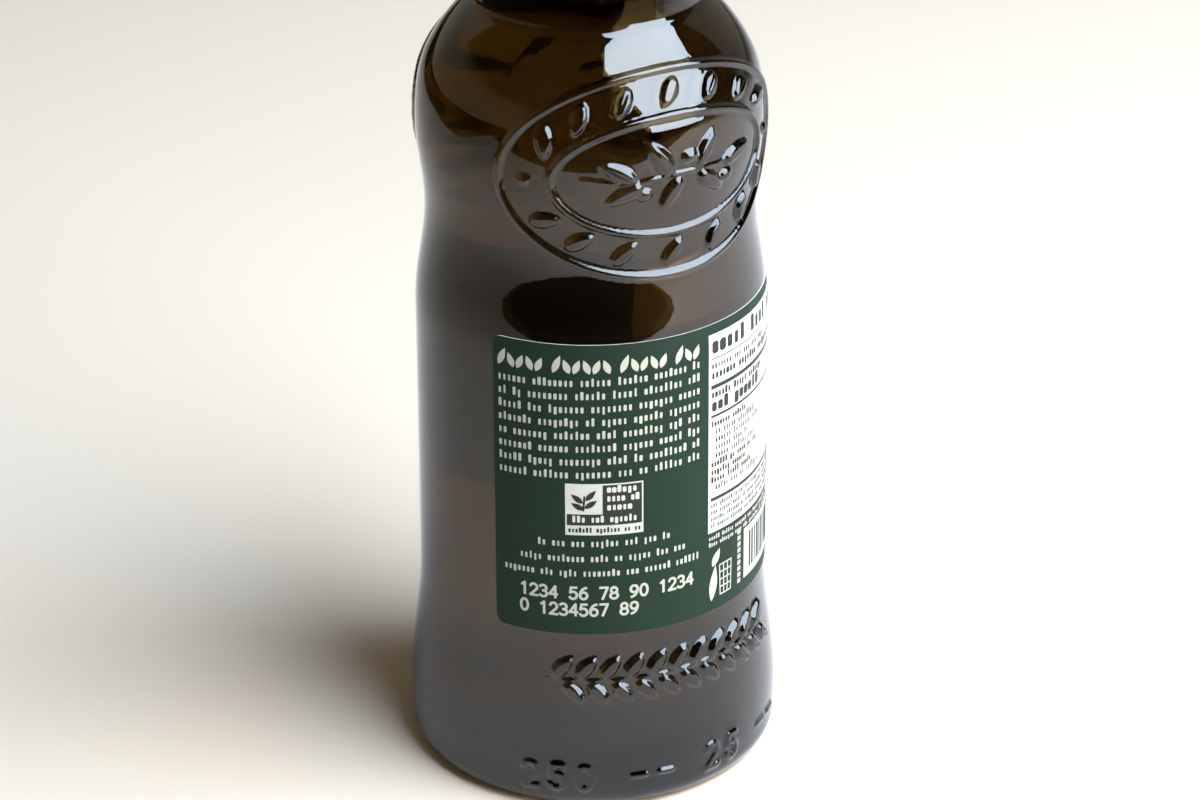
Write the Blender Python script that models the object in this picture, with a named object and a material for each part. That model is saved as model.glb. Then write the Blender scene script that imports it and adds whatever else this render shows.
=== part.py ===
"""Olive oil bottle of dark glass, filled, labelled and closed with a screw cap.

Units are metres with +Z up. The origin is the middle of the foot on the surface that the
bottle stands on, and Z is its axis. Angles round the bottle are in degrees from -Y towards
+X. A rise is a length along the outer wall's outline, measured up from the standing ring.
"""

import math

import bmesh
import bpy
import numpy as np

MM = 0.001
GAP = 0.3 * MM
MERGE = 0.01 * MM

# Outside of the glass: heights above the surface, radii, and the arcs of the shoulder.
FOOT_RADIUS = 31.4 * MM
HEEL_ARC = 3.6 * MM
RING_WIDTH = 1.8 * MM
PUNT_HEIGHT = 4.0 * MM
FLARE_START, FLARE_END = 8.0 * MM, 34.0 * MM
BODY_RADIUS, BODY_TOP_RADIUS, BODY_TOP = 29.2 * MM, 28.84 * MM, 80.5 * MM
WAIST_RADIUS, WAIST_HEIGHT = 26.88 * MM, 98.6 * MM
BULGE_RADIUS, BULGE_HEIGHT = 28.02 * MM, 112.5 * MM
SHOULDER_START = 113.0 * MM
SHOULDER_ARCS = ((40.0 * MM, 8.5), (17.0 * MM, 19.0), (27.8 * MM, 24.0))
NECK_FILLET, NECK_TAPER = 1.8 * MM, 8.0
NECK_RADIUS = 14.3 * MM
COLLAR_RADIUS, COLLAR_HEIGHT, COLLAR_HALF = 15.4 * MM, 167.6 * MM, 1.8 * MM
FINISH_RADIUS, RIM_HEIGHT, RIM_ARC = 14.4 * MM, 194.0 * MM, 0.9 * MM

# Inside of the glass.
WALL = 3.4 * MM
BORE_RADIUS = 10.9 * MM
BASE_THICKNESS = 6.0 * MM
FLOOR_ARC = 5.0 * MM
FILL_HEIGHT = RIM_HEIGHT - 40.0 * MM

# Cap.
CAP_RADIUS, CAP_HEIGHT, CAP_WALL, CAP_LID = 15.75 * MM, 24.0 * MM, 0.8 * MM, 1.3 * MM
CAP_EDGE = 1.3 * MM
CAP_GROOVE, CAP_GROOVE_DEPTH = 0.35 * MM, 0.3 * MM
CAP_GROOVE_RISES = (5.2 * MM, 16.2 * MM, 21.4 * MM)

# Labels: angles of the two upright edges, heights of the lower and upper edge.
LABEL_THICKNESS = 0.25 * MM
LABEL_CORNER = 1.5 * MM
INFO_LABEL = (-32.4, 113.0, 33.0 * MM, 85.1 * MM)
FRONT_LABEL = (175.2, 245.2, 40.0 * MM, 85.1 * MM)

# Raised ornament.
MEDALLION_ANGLES = (28.5, 208.5)
MEDALLION_RISE = 114.6 * MM
MEDALLION_GIRTH = 27.8 * MM
OUTER_OVAL = (28.6 * MM, 17.0 * MM)
INNER_OVAL = (20.0 * MM, 9.8 * MM)
BAND_OVAL = (24.3 * MM, 13.3 * MM)
BEAD_WIDTH, BEAD_HEIGHT = 1.3 * MM, 0.7 * MM
LEAF_SINK = 0.6 * MM
STUD_SIZE = 2.4 * MM
WREATH_LEAVES, WREATH_STEP, WREATH_HEADING = 7, 20.0, 50.0
WREATH_LEAF = (5.6 * MM, 2.7 * MM)
SPRIG_LEAF_WIDTH = 2.8 * MM
GARLAND_ANGLE, GARLAND_RISE, GARLAND_GIRTH = 28.5, 26.6 * MM, 29.9 * MM
GARLAND_PAIRS, GARLAND_STEP, GARLAND_REACH, GARLAND_HEADING = 11, 4.0 * MM, 2.3 * MM, 50.0
GARLAND_LEAF = (5.4 * MM, 2.6 * MM)
MARKS_RISE, MARKS_ANGLE, MARKS_GIRTH = 8.6 * MM, -22.0, 31.4 * MM
MARK_HEIGHT, MARK_STROKE, MARK_LIFT = 4.4 * MM, 0.75 * MM, 0.4 * MM
MARK_STEP, MARK_INSET = 4.6 * MM, 0.5 * MM

# Leaves of the sprig inside a medallion, in mm and degrees: across, up, heading, length.
SPRIG = (
    (-9.5, 1.6, 150.0, 7.0),
    (-8.5, -2.2, 205.0, 7.0),
    (-2.5, 3.0, 125.0, 7.0),
    (-1.0, -3.0, 235.0, 7.0),
    (5.5, 3.2, 55.0, 7.0),
    (6.5, -2.4, -40.0, 7.0),
    (12.5, 0.6, 12.0, 7.5),
)

# Facets.
GLASS_SIDES, OIL_SIDES, CAP_SIDES = 48, 32, 40
BEAD_STEPS = 32
LABEL_STEP = 6.0

# Strokes of a numeral on a unit cell, as in a seven-part display.
STROKE_ENDS = {
    "top": ((0.0, 1.0), (0.5, 1.0)),
    "middle": ((0.0, 0.5), (0.5, 0.5)),
    "bottom": ((0.0, 0.0), (0.5, 0.0)),
    "upper_left": ((0.0, 0.5), (0.0, 1.0)),
    "upper_right": ((0.5, 0.5), (0.5, 1.0)),
    "lower_left": ((0.0, 0.0), (0.0, 0.5)),
    "lower_right": ((0.5, 0.0), (0.5, 0.5)),
}
NUMERALS = {
    "2": ("top", "upper_right", "middle", "lower_left", "bottom"),
    "5": ("top", "upper_left", "middle", "lower_right", "bottom"),
    "0": ("top", "upper_left", "upper_right", "lower_left", "lower_right", "bottom"),
    "-": ("middle",),
    " ": (),
}
MARKS_TEXT = "250 -- 25 --"


def clear_scene():
    """Removes whatever the scene holds."""
    for item in list(bpy.data.objects):
        bpy.data.objects.remove(item, do_unlink=True)


def material(name, colour, roughness, metallic=0.0, transmission=0.0):
    """A Principled material with one colour."""
    made = bpy.data.materials.new(name)
    made.use_nodes = True
    shader = made.node_tree.nodes["Principled BSDF"]
    shader.inputs["Base Color"].default_value = (*colour, 1.0)
    shader.inputs["Roughness"].default_value = roughness
    shader.inputs["Metallic"].default_value = metallic
    shader.inputs["Transmission Weight"].default_value = transmission
    return made


def add_object(name, mesh, surface=None):
    """Links a mesh into the scene as an object, with a material if one is given."""
    made = bpy.data.objects.new(name, mesh)
    bpy.context.scene.collection.objects.link(made)
    if surface is not None:
        mesh.materials.append(surface)
    return made


def mesh_from(name, points, faces):
    """A mesh from points and faces, its normals set to point out."""
    mesh = bpy.data.meshes.new(name)
    mesh.from_pydata([tuple(p) for p in points], [], [tuple(f) for f in faces])
    work = bmesh.new()
    work.from_mesh(mesh)
    bmesh.ops.recalc_face_normals(work, faces=work.faces)
    work.to_mesh(mesh)
    work.free()
    return mesh


def settle(item):
    """Applies an object's modifiers, so that its mesh holds their result."""
    bpy.context.view_layer.update()
    graph = bpy.context.evaluated_depsgraph_get()
    item.data = bpy.data.meshes.new_from_object(item.evaluated_get(graph))
    item.modifiers.clear()


def turned(name, outline, sides, surface):
    """A solid turned from an outline of (radius, height) points.

    The outline runs down the outer side and ends where it starts, or starts and ends on
    the axis.
    """
    mesh = bpy.data.meshes.new(name)
    closed = outline[0][0] > MERGE
    count = len(outline)
    edges = [(i, i + 1) for i in range(count - 1)]
    if closed:
        edges.append((count - 1, 0))
    mesh.from_pydata([(r, 0.0, z) for r, z in outline], edges, [])
    made = add_object(name, mesh, surface)
    screw = made.modifiers.new("turn", "SCREW")
    screw.axis = "Z"
    screw.angle = math.tau
    screw.steps = sides
    screw.render_steps = sides
    screw.use_merge_vertices = True
    screw.merge_threshold = MERGE
    screw.use_smooth_shade = True
    settle(made)
    return made


def eased(start, end, steps):
    """Points from start to end, with upright tangents at both: half a cosine wave."""
    (r0, z0), (r1, z1) = start, end
    t = np.arange(1, steps + 1) / steps
    return np.column_stack((r0 + (r1 - r0) * (1 - np.cos(np.pi * t)) / 2, z0 + (z1 - z0) * t))


def arc(start, radius, lean, turn, steps):
    """Points of an arc that leans further in by turn degrees. A negative turn leans back out."""
    lean, turn = math.radians(lean), math.radians(turn)
    angles = lean + turn * np.arange(1, steps + 1) / steps
    sign = math.copysign(1.0, turn)
    r = start[0] - sign * radius * (math.cos(lean) - np.cos(angles))
    z = start[1] + sign * radius * (np.sin(angles) - math.sin(lean))
    return np.column_stack((r, z))


def outer_outline(fineness=1):
    """The outside from the standing ring's outer edge up to the rim, as (radius, height)."""
    heel = np.radians(np.linspace(0.0, 90.0, 3 * fineness + 1))
    centre = FOOT_RADIUS - HEEL_ARC
    parts = [np.column_stack((centre + HEEL_ARC * np.sin(heel), HEEL_ARC * (1 - np.cos(heel))))]

    def last():
        return parts[-1][-1]

    parts.append(np.array([(FOOT_RADIUS, FLARE_START)]))
    parts.append(eased(last(), (BODY_RADIUS, FLARE_END), 5 * fineness))
    parts.append(np.array([(BODY_TOP_RADIUS, BODY_TOP)]))
    parts.append(eased(last(), (WAIST_RADIUS, WAIST_HEIGHT), 5 * fineness))
    parts.append(eased(last(), (BULGE_RADIUS, BULGE_HEIGHT), 4 * fineness))
    parts.append(np.array([(BULGE_RADIUS, SHOULDER_START)]))
    lean = 0.0
    for radius, turn in SHOULDER_ARCS:
        parts.append(arc(last(), radius, lean, turn, 2 * fineness))
        lean += turn
    parts.append(arc(last(), NECK_FILLET, lean, NECK_TAPER - lean, 2 * fineness))
    taper = math.tan(math.radians(NECK_TAPER))
    cone_top = last()[1] + (last()[0] - NECK_RADIUS) / taper
    parts.append(np.array([(NECK_RADIUS, cone_top), (NECK_RADIUS, COLLAR_HEIGHT - COLLAR_HALF)]))
    wave = np.radians(np.linspace(0.0, 180.0, 4 * fineness + 1))[1:-1]
    bead = COLLAR_RADIUS - NECK_RADIUS
    collar_r = NECK_RADIUS + bead * np.sin(wave)
    collar_z = COLLAR_HEIGHT - COLLAR_HALF * np.cos(wave)
    parts.append(np.column_stack((collar_r, collar_z)))
    finish = [(FINISH_RADIUS, COLLAR_HEIGHT + COLLAR_HALF), (FINISH_RADIUS, RIM_HEIGHT - RIM_ARC)]
    parts.append(np.array(finish))
    rim = np.radians(np.linspace(0.0, 90.0, 2 * fineness + 1))[1:]
    rim_r = FINISH_RADIUS - RIM_ARC * (1 - np.cos(rim))
    rim_z = RIM_HEIGHT - RIM_ARC * (1 - np.sin(rim))
    parts.append(np.column_stack((rim_r, rim_z)))
    return np.vstack(parts)


def punt_height(radius):
    """Height of the underside: a shallow dome inside the standing ring."""
    ring = FOOT_RADIUS - HEEL_ARC - RING_WIDTH
    return PUNT_HEIGHT * (1 + math.cos(math.pi * min(radius / ring, 1.0))) / 2


def wall_table():
    """Rise, radius and height of points close together along the outer wall."""
    outline = outer_outline(8)
    rise = np.concatenate(([0.0], np.cumsum(np.linalg.norm(np.diff(outline, axis=0), axis=1))))
    return rise, outline[:, 0], outline[:, 1]


WALL_TABLE = wall_table()


def wall_point(angle, rise, lift):
    """A point lifted off the outer wall along its normal. Angle is in degrees."""
    rises, radii, heights = WALL_TABLE
    ends = np.array((rise - 0.5 * MM, rise, rise + 0.5 * MM))
    r, z = np.interp(ends, rises, radii), np.interp(ends, rises, heights)
    along = np.array((r[2] - r[0], z[2] - z[0]))
    along /= np.linalg.norm(along)
    radius, height = r[1] + lift * along[1], z[1] - lift * along[0]
    turn = math.radians(angle)
    return np.array((radius * math.sin(turn), -radius * math.cos(turn), height))


def inner_outline(clearance=0.0, top=RIM_HEIGHT):
    """The inside from the floor's middle up to a height, moved in by clearance."""
    depth = WALL + clearance
    bore = BORE_RADIUS - clearance
    floor_edge = FOOT_RADIUS - depth - FLOOR_ARC
    level = BASE_THICKNESS + clearance
    floor = [(r, punt_height(r) + level) for r in np.linspace(0.0, floor_edge, 4)]
    low = floor[-1][1]
    corner = [
        (floor_edge + FLOOR_ARC * math.sin(a), low + FLOOR_ARC * (1 - math.cos(a)))
        for a in np.radians((30.0, 60.0, 90.0))
    ]
    rises, _, heights = WALL_TABLE
    side = []
    for height in outer_outline()[:, 1]:
        _, y, z = wall_point(0.0, np.interp(height, heights, rises), -depth)
        if z > corner[-1][1] + MM and -y > bore + MM and height < COLLAR_HEIGHT - COLLAR_HALF:
            side.append((-y, z))
    side = side[:-1:2] + side[-1:]
    throat = side[-1][1] + NECK_FILLET
    return floor + corner + side + [(bore, throat), (bore, top)]


def on_wall(centre_angle, centre_rise, girth):
    """A function that places flat (across, up, lift) coordinates on the wall."""

    def place(across, up, lift):
        return wall_point(centre_angle + math.degrees(across / girth), centre_rise + up, lift)

    return place


def leaf(name, place, spot, heading, length, width):
    """A leaf with a ridge, its lower rim sunk in the wall. Heading is in degrees from across."""
    across, up = spot
    turn = math.radians(heading)
    stations = ((0.0, 0.0), (0.3, 0.85), (0.6, 0.8), (1.0, 0.0))
    rim = [(t, w / 2) for t, w in stations] + [(t, -w / 2) for t, w in reversed(stations[1:-1])]
    ridge = [(0.15, 0.6), (0.5, 1.0), (0.85, 0.5)]

    def at(t, side, lift):
        x, y = (t - 0.5) * length, side * width
        return place(
            across + x * math.cos(turn) - y * math.sin(turn),
            up + x * math.sin(turn) + y * math.cos(turn),
            lift,
        )

    points = [at(t, side, -LEAF_SINK) for t, side in rim]
    points += [at(t, 0.0, height * BEAD_HEIGHT) for t, height in ridge]
    faces = [
        (0, 1, 6), (1, 7, 6), (1, 2, 7), (2, 8, 7), (2, 3, 8),
        (3, 4, 8), (4, 7, 8), (4, 5, 7), (5, 6, 7), (5, 0, 6),
        (5, 4, 3, 2, 1, 0),
    ]
    return add_object(name, mesh_from(name, points, faces))


def bead_ring(name, place, half_width, half_height):
    """A raised oval line: a low ridge swept round an ellipse on the wall."""
    crest = 0.8 * BEAD_HEIGHT
    section = ((-0.5, -LEAF_SINK), (-0.3, crest), (0.3, crest), (0.5, -LEAF_SINK))
    points, faces = [], []
    for step in range(BEAD_STEPS):
        t = math.tau * step / BEAD_STEPS
        normal = np.array((math.cos(t) / half_width, math.sin(t) / half_height))
        normal /= np.linalg.norm(normal)
        for out, lift in section:
            across = half_width * math.cos(t) + out * BEAD_WIDTH * normal[0]
            up = half_height * math.sin(t) + out * BEAD_WIDTH * normal[1]
            points.append(place(across, up, lift))
    size = len(section)
    for step in range(BEAD_STEPS):
        here, there = step * size, (step + 1) % BEAD_STEPS * size
        for i in range(size):
            j = (i + 1) % size
            faces.append((here + i, here + j, there + j, there + i))
    return add_object(name, mesh_from(name, points, faces))


def stroke(name, place, start, end):
    """A straight raised stroke between two flat points, drawn short of both."""
    start, end = np.array(start), np.array(end)
    along = (end - start) / np.linalg.norm(end - start)
    side = np.array((-along[1], along[0])) * MARK_STROKE / 2
    start, end = start + along * MARK_INSET, end - along * MARK_INSET
    corners = (start - side, end - side, end + side, start + side)
    points = [place(*c, -LEAF_SINK) for c in corners]
    points += [place(*c, MARK_LIFT) for c in corners]
    faces = [(3, 2, 1, 0), (4, 5, 6, 7)]
    faces += [(i, (i + 1) % 4, (i + 1) % 4 + 4, i + 4) for i in range(4)]
    return add_object(name, mesh_from(name, points, faces))


def wreath(name, place, middle):
    """Slanted leaves along one half of the band, to both sides of its middle."""
    made = []
    for step in range(WREATH_LEAVES):
        t = math.radians(middle + (step - (WREATH_LEAVES - 1) / 2) * WREATH_STEP)
        spot = (BAND_OVAL[0] * math.cos(t), BAND_OVAL[1] * math.sin(t))
        along = math.degrees(math.atan2(BAND_OVAL[1] * math.cos(t), -BAND_OVAL[0] * math.sin(t)))
        made.append(leaf(name, place, spot, along + WREATH_HEADING, *WREATH_LEAF))
    return made


def medallion(angle, number):
    """Two bead rings, a wreath of leaves between them, two studs and a sprig inside."""
    place = on_wall(angle, MEDALLION_RISE, MEDALLION_GIRTH)
    made = [
        bead_ring(f"ring_outer_{number}", place, *OUTER_OVAL),
        bead_ring(f"ring_inner_{number}", place, *INNER_OVAL),
    ]
    for side in (1, -1):
        spot = (side * BAND_OVAL[0], 0.0)
        made.append(leaf(f"stud_{number}", place, spot, 90.0, STUD_SIZE, STUD_SIZE))
        made += wreath(f"wreath_{number}", place, 90.0 * side)
    for across, up, heading, length in SPRIG:
        spot = (across * MM, up * MM)
        made.append(leaf(f"sprig_{number}", place, spot, heading, length * MM, SPRIG_LEAF_WIDTH))
    return made


def garland():
    """A low garland near the foot: pairs of leaves along a level line."""
    place = on_wall(GARLAND_ANGLE, GARLAND_RISE, GARLAND_GIRTH)
    made = []
    for pair in range(GARLAND_PAIRS):
        across = (pair - (GARLAND_PAIRS - 1) / 2) * GARLAND_STEP
        for side in (1, -1):
            shift = 0.5 * GARLAND_STEP if side < 0 else 0.0
            spot = (across + shift, side * GARLAND_REACH)
            made.append(leaf("garland", place, spot, side * GARLAND_HEADING, *GARLAND_LEAF))
    return made


def capacity_marks():
    """Plain numerals and dashes just above the heel."""
    place = on_wall(MARKS_ANGLE, MARKS_RISE, MARKS_GIRTH)
    made = []
    for index, sign in enumerate(MARKS_TEXT):
        for part in NUMERALS[sign]:
            ends = [((x + index) * MARK_STEP, (y - 0.5) * MARK_HEIGHT) for x, y in STROKE_ENDS[part]]
            made.append(stroke("mark", place, *ends))
    return made


def glass_bottle(surface):
    """The bottle: a turned wall with a punt and an open mouth, and its raised ornament."""
    outer = outer_outline()
    ring = FOOT_RADIUS - HEEL_ARC - RING_WIDTH
    under = [(r, punt_height(r)) for r in np.linspace(ring, 0.0, 5)]
    inside = inner_outline()
    rim = [(BORE_RADIUS + RIM_ARC, RIM_HEIGHT)]
    inside[-1] = (BORE_RADIUS, RIM_HEIGHT - RIM_ARC)
    outline = inside + rim + [tuple(p) for p in outer[::-1]] + under
    made = turned("glass_bottle", outline, GLASS_SIDES, surface)
    raised = garland() + capacity_marks()
    for number, angle in enumerate(MEDALLION_ANGLES):
        raised += medallion(angle, number)
    group = bpy.data.collections.new("raised")
    for piece in raised:
        group.objects.link(piece)
    union = made.modifiers.new("ornament", "BOOLEAN")
    union.operation = "UNION"
    union.solver = "EXACT"
    union.operand_type = "COLLECTION"
    union.collection = group
    settle(made)
    for piece in raised:
        bpy.data.objects.remove(piece, do_unlink=True)
    bpy.data.collections.remove(group)
    made.data.set_sharp_from_angle(angle=math.radians(30.0))
    return made


def olive_oil(surface):
    """The oil: it fills the inside up to its level in the neck."""
    side = [p for p in inner_outline(GAP, FILL_HEIGHT) if p[1] < FILL_HEIGHT]
    outline = [(0.0, FILL_HEIGHT), (BORE_RADIUS - GAP, FILL_HEIGHT)] + side[::-1]
    return turned("olive_oil", outline, OIL_SIDES, surface)


def label(name, spans, surface):
    """A curved sheet that lies close on the body, with rounded corners."""
    start, end, low, high = spans
    rises, radii, heights = WALL_TABLE
    corner = math.degrees(LABEL_CORNER / BODY_RADIUS)
    count = round((end - start - 2 * corner) / LABEL_STEP)
    near = corner * (1 - np.cos(np.radians((0.0, 45.0))))
    middle = np.linspace(start + corner, end - corner, count + 1)
    angles = np.concatenate((start + near, middle, end - near[::-1]))
    breaks = [low] + [z for z in (BODY_TOP,) if low < z < high] + [high]
    columns = []
    for angle in angles:
        reach = max(0.0, corner - min(angle - start, end - angle)) / corner
        inset = LABEL_CORNER * (1 - math.sqrt(max(0.0, 1 - reach**2)))
        column = [breaks[0] + inset, *breaks[1:-1], breaks[-1] - inset]
        columns.append([(angle, z) for z in column])
    rows = len(breaks)
    points = []
    for lift in (GAP, GAP + LABEL_THICKNESS):
        for column in columns:
            for angle, z in column:
                radius, turn = np.interp(z, heights, radii) + lift, math.radians(angle)
                points.append((radius * math.sin(turn), -radius * math.cos(turn), z))
    size = len(columns) * rows
    faces = []
    for c in range(len(columns) - 1):
        for k in range(rows - 1):
            a, b = c * rows + k, (c + 1) * rows + k
            faces += [(a, a + 1, b + 1, b), (size + a, size + b, size + b + 1, size + a + 1)]
        a, b = c * rows, (c + 1) * rows
        faces.append((a, b, size + b, size + a))
        a, b = a + rows - 1, b + rows - 1
        faces.append((b, a, size + a, size + b))
    for k in range(rows - 1):
        faces.append((k + 1, k, size + k, size + k + 1))
        a = size - rows + k
        faces.append((a, a + 1, size + a + 1, size + a))
    made = add_object(name, mesh_from(name, points, faces), surface)
    made.data.shade_smooth()
    made.data.set_sharp_from_angle(angle=math.radians(40.0))
    return made


def screw_cap(surface):
    """The cap: a shell over the finish, with a rounded top edge and three rolled grooves."""
    top = RIM_HEIGHT + GAP + CAP_LID
    bottom = top - CAP_HEIGHT
    bore = CAP_RADIUS - CAP_WALL
    outline = [(0.0, top)]
    for a in np.radians((0.0, 30.0, 60.0, 90.0)):
        outline.append((CAP_RADIUS - CAP_EDGE * (1 - math.sin(a)), top - CAP_EDGE * (1 - math.cos(a))))
    for rise in sorted(CAP_GROOVE_RISES, reverse=True):
        middle = bottom + rise
        outline += [
            (CAP_RADIUS, middle + CAP_GROOVE),
            (CAP_RADIUS - CAP_GROOVE_DEPTH, middle),
            (CAP_RADIUS, middle - CAP_GROOVE),
        ]
    outline += [(CAP_RADIUS, bottom), (bore, bottom), (bore, top - CAP_LID), (0.0, top - CAP_LID)]
    made = turned("screw_cap", outline, CAP_SIDES, surface)
    made.data.set_sharp_from_angle(angle=math.radians(40.0))
    return made


def build():
    """Makes the whole bottle."""
    clear_scene()
    glass = material("dark_glass", (0.05, 0.03, 0.01), 0.03, transmission=1.0)
    oil = material("oil", (0.55, 0.42, 0.06), 0.05, transmission=0.8)
    paper = material("label_paper", (0.04, 0.09, 0.065), 0.4)
    lacquer = material("cap_lacquer", (0.015, 0.02, 0.017), 0.35, metallic=0.6)
    glass_bottle(glass)
    olive_oil(oil)
    label("info_label", INFO_LABEL, paper)
    label("front_label", FRONT_LABEL, paper)
    screw_cap(lacquer)


build()
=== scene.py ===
"""Dresses the olive oil bottle: dark glass with raised ornament, oil, paper labels and a cap.

Units are metres with +Z up. Angles round the bottle are in degrees from -Y towards +X. A rise
is a length along the outer wall's outline, measured up from the standing ring.
"""

import logging
import math
from collections.abc import Sequence
from dataclasses import dataclass
from enum import Enum
from typing import Any

import bpy
import numpy as np
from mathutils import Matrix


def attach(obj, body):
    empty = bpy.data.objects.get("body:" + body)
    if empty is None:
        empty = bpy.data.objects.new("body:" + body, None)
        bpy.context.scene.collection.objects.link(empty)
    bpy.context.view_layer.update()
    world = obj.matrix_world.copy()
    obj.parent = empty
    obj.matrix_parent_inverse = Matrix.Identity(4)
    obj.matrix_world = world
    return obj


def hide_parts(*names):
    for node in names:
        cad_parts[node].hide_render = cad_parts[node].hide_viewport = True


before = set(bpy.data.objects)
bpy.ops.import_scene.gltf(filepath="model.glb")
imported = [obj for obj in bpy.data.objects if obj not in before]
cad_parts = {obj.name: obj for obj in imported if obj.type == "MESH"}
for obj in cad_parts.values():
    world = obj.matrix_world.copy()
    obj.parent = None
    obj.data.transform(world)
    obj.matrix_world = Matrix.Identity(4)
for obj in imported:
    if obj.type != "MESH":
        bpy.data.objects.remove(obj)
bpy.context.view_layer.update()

LOG = logging.getLogger("bottle")
MM = 0.001
TINY = 1e-9
STEEPNESS = 0.4

Array = np.ndarray
Colour = tuple[float, float, float]


class Piece(Enum):
    """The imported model's nodes that this script dresses."""

    GLASS = "glass_bottle"
    OIL = "olive_oil"
    INFO = "info_label"
    FRONT = "front_label"
    CAP = "screw_cap"


# Shaders


class Signal:
    """A node's output that can stand in a Python expression of numbers."""

    def __init__(self, shade: "Shade", socket: bpy.types.NodeSocket) -> None:
        """Wraps a socket.

        Args:
            shade: The node tree that the socket is in.
            socket: An output socket.
        """
        self.shade = shade
        self.socket = socket

    def _math(self, operation: str, first: Any, second: Any) -> "Signal":
        """The result of one Math node."""
        return self.shade.node("ShaderNodeMath", {"operation": operation}, {0: first, 1: second})

    def __add__(self, other: Any) -> "Signal":
        """Self plus other."""
        return self._math("ADD", self, other)

    def __sub__(self, other: Any) -> "Signal":
        """Self minus other."""
        return self._math("SUBTRACT", self, other)

    def __rsub__(self, other: Any) -> "Signal":
        """Other minus self."""
        return self._math("SUBTRACT", other, self)

    def __mul__(self, other: Any) -> "Signal":
        """Self times other."""
        return self._math("MULTIPLY", self, other)

    def __truediv__(self, other: Any) -> "Signal":
        """Self over other."""
        return self._math("DIVIDE", self, other)

    def __pow__(self, other: Any) -> "Signal":
        """Self to the power of other."""
        return self._math("POWER", self, other)

    def __or__(self, other: Any) -> "Signal":
        """The greater of self and other."""
        return self._math("MAXIMUM", self, other)

    def __and__(self, other: Any) -> "Signal":
        """The lesser of self and other."""
        return self._math("MINIMUM", self, other)

    __radd__ = __add__
    __rmul__ = __mul__


class Shade:
    """Builds the node tree of one material or world."""

    def __init__(self, owner: bpy.types.Material | bpy.types.World) -> None:
        """Clears the owner's nodes.

        Args:
            owner: A material or a world.
        """
        owner.use_nodes = True
        self.owner = owner
        self.tree = owner.node_tree
        self.tree.nodes.clear()

    def node(self, kind: str, settings: dict | None = None, sockets: dict | None = None,
             output: int | str = 0) -> Signal:
        """Adds one node.

        Args:
            kind: The node's type.
            settings: The node's own settings, set first.
            sockets: Values or signals of its inputs, by name or number.
            output: The output that is wanted.

        Returns:
            That output.
        """
        made = self.tree.nodes.new(kind)
        for name, value in (settings or {}).items():
            setattr(made, name, value)
        for name, value in (sockets or {}).items():
            if isinstance(value, Signal):
                self.tree.links.new(value.socket, made.inputs[name])
            else:
                made.inputs[name].default_value = value
        return Signal(self, made.outputs[output])

    def twin(self, signal: Signal, output: int | str) -> Signal:
        """Another output of the node that a signal comes from."""
        return Signal(self, signal.socket.node.outputs[output])

    def object_place(self) -> Signal:
        """The Object coordinates."""
        return self.node("ShaderNodeTexCoord", output="Object")

    def axes(self, vector: Signal) -> tuple[Signal, Signal, Signal]:
        """The three parts of a vector."""
        first = self.node("ShaderNodeSeparateXYZ", None, {0: vector})
        return first, self.twin(first, 1), self.twin(first, 2)

    def noise(self, place: Signal, scale: float, detail: float = 3.0) -> Signal:
        """A noise from 0 to 1, with its scale in features a metre."""
        return self.node("ShaderNodeTexNoise", None,
                         {"Vector": place, "Scale": scale, "Detail": detail})

    def between(self, value: Signal, low: float, high: float) -> Signal:
        """A smooth step from 0 at low to 1 at high."""
        settings = {"interpolation_type": "SMOOTHSTEP"}
        return self.node("ShaderNodeMapRange", settings, {"Value": value, 1: low, 2: high})

    def blend(self, factor: Any, first: Any, second: Any) -> Signal:
        """A mix of two colours."""
        sockets = {"Factor": factor, 6: self._rgba(first), 7: self._rgba(second)}
        return self.node("ShaderNodeMix", {"data_type": "RGBA"}, sockets, output=2)

    @staticmethod
    def _rgba(colour: Any) -> Any:
        """A colour with its alpha, or the signal as it is."""
        return colour if isinstance(colour, Signal) else (*colour, 1.0)

    def principled(self, sockets: dict) -> Signal:
        """A Principled shader."""
        filled = {k: self._rgba(v) if k == "Base Color" else v for k, v in sockets.items()}
        return self.node("ShaderNodeBsdfPrincipled", None, filled)

    def bump(self, height: Signal, distance: float) -> Signal:
        """A normal bent by a height from 0 to 1, which stands for that many metres."""
        return self.node("ShaderNodeBump", None, {"Height": height, "Distance": distance},
                         output="Normal")

    def close(self, surface: Signal) -> None:
        """Joins the final shader to the output."""
        kind = "World" if isinstance(self.owner, bpy.types.World) else "Material"
        output = self.tree.nodes.new(f"ShaderNodeOutput{kind}")
        self.tree.links.new(surface.socket, output.inputs["Surface"])


def new_shade(name: str) -> Shade:
    """A new material's node tree."""
    return Shade(bpy.data.materials.new(name))


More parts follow.
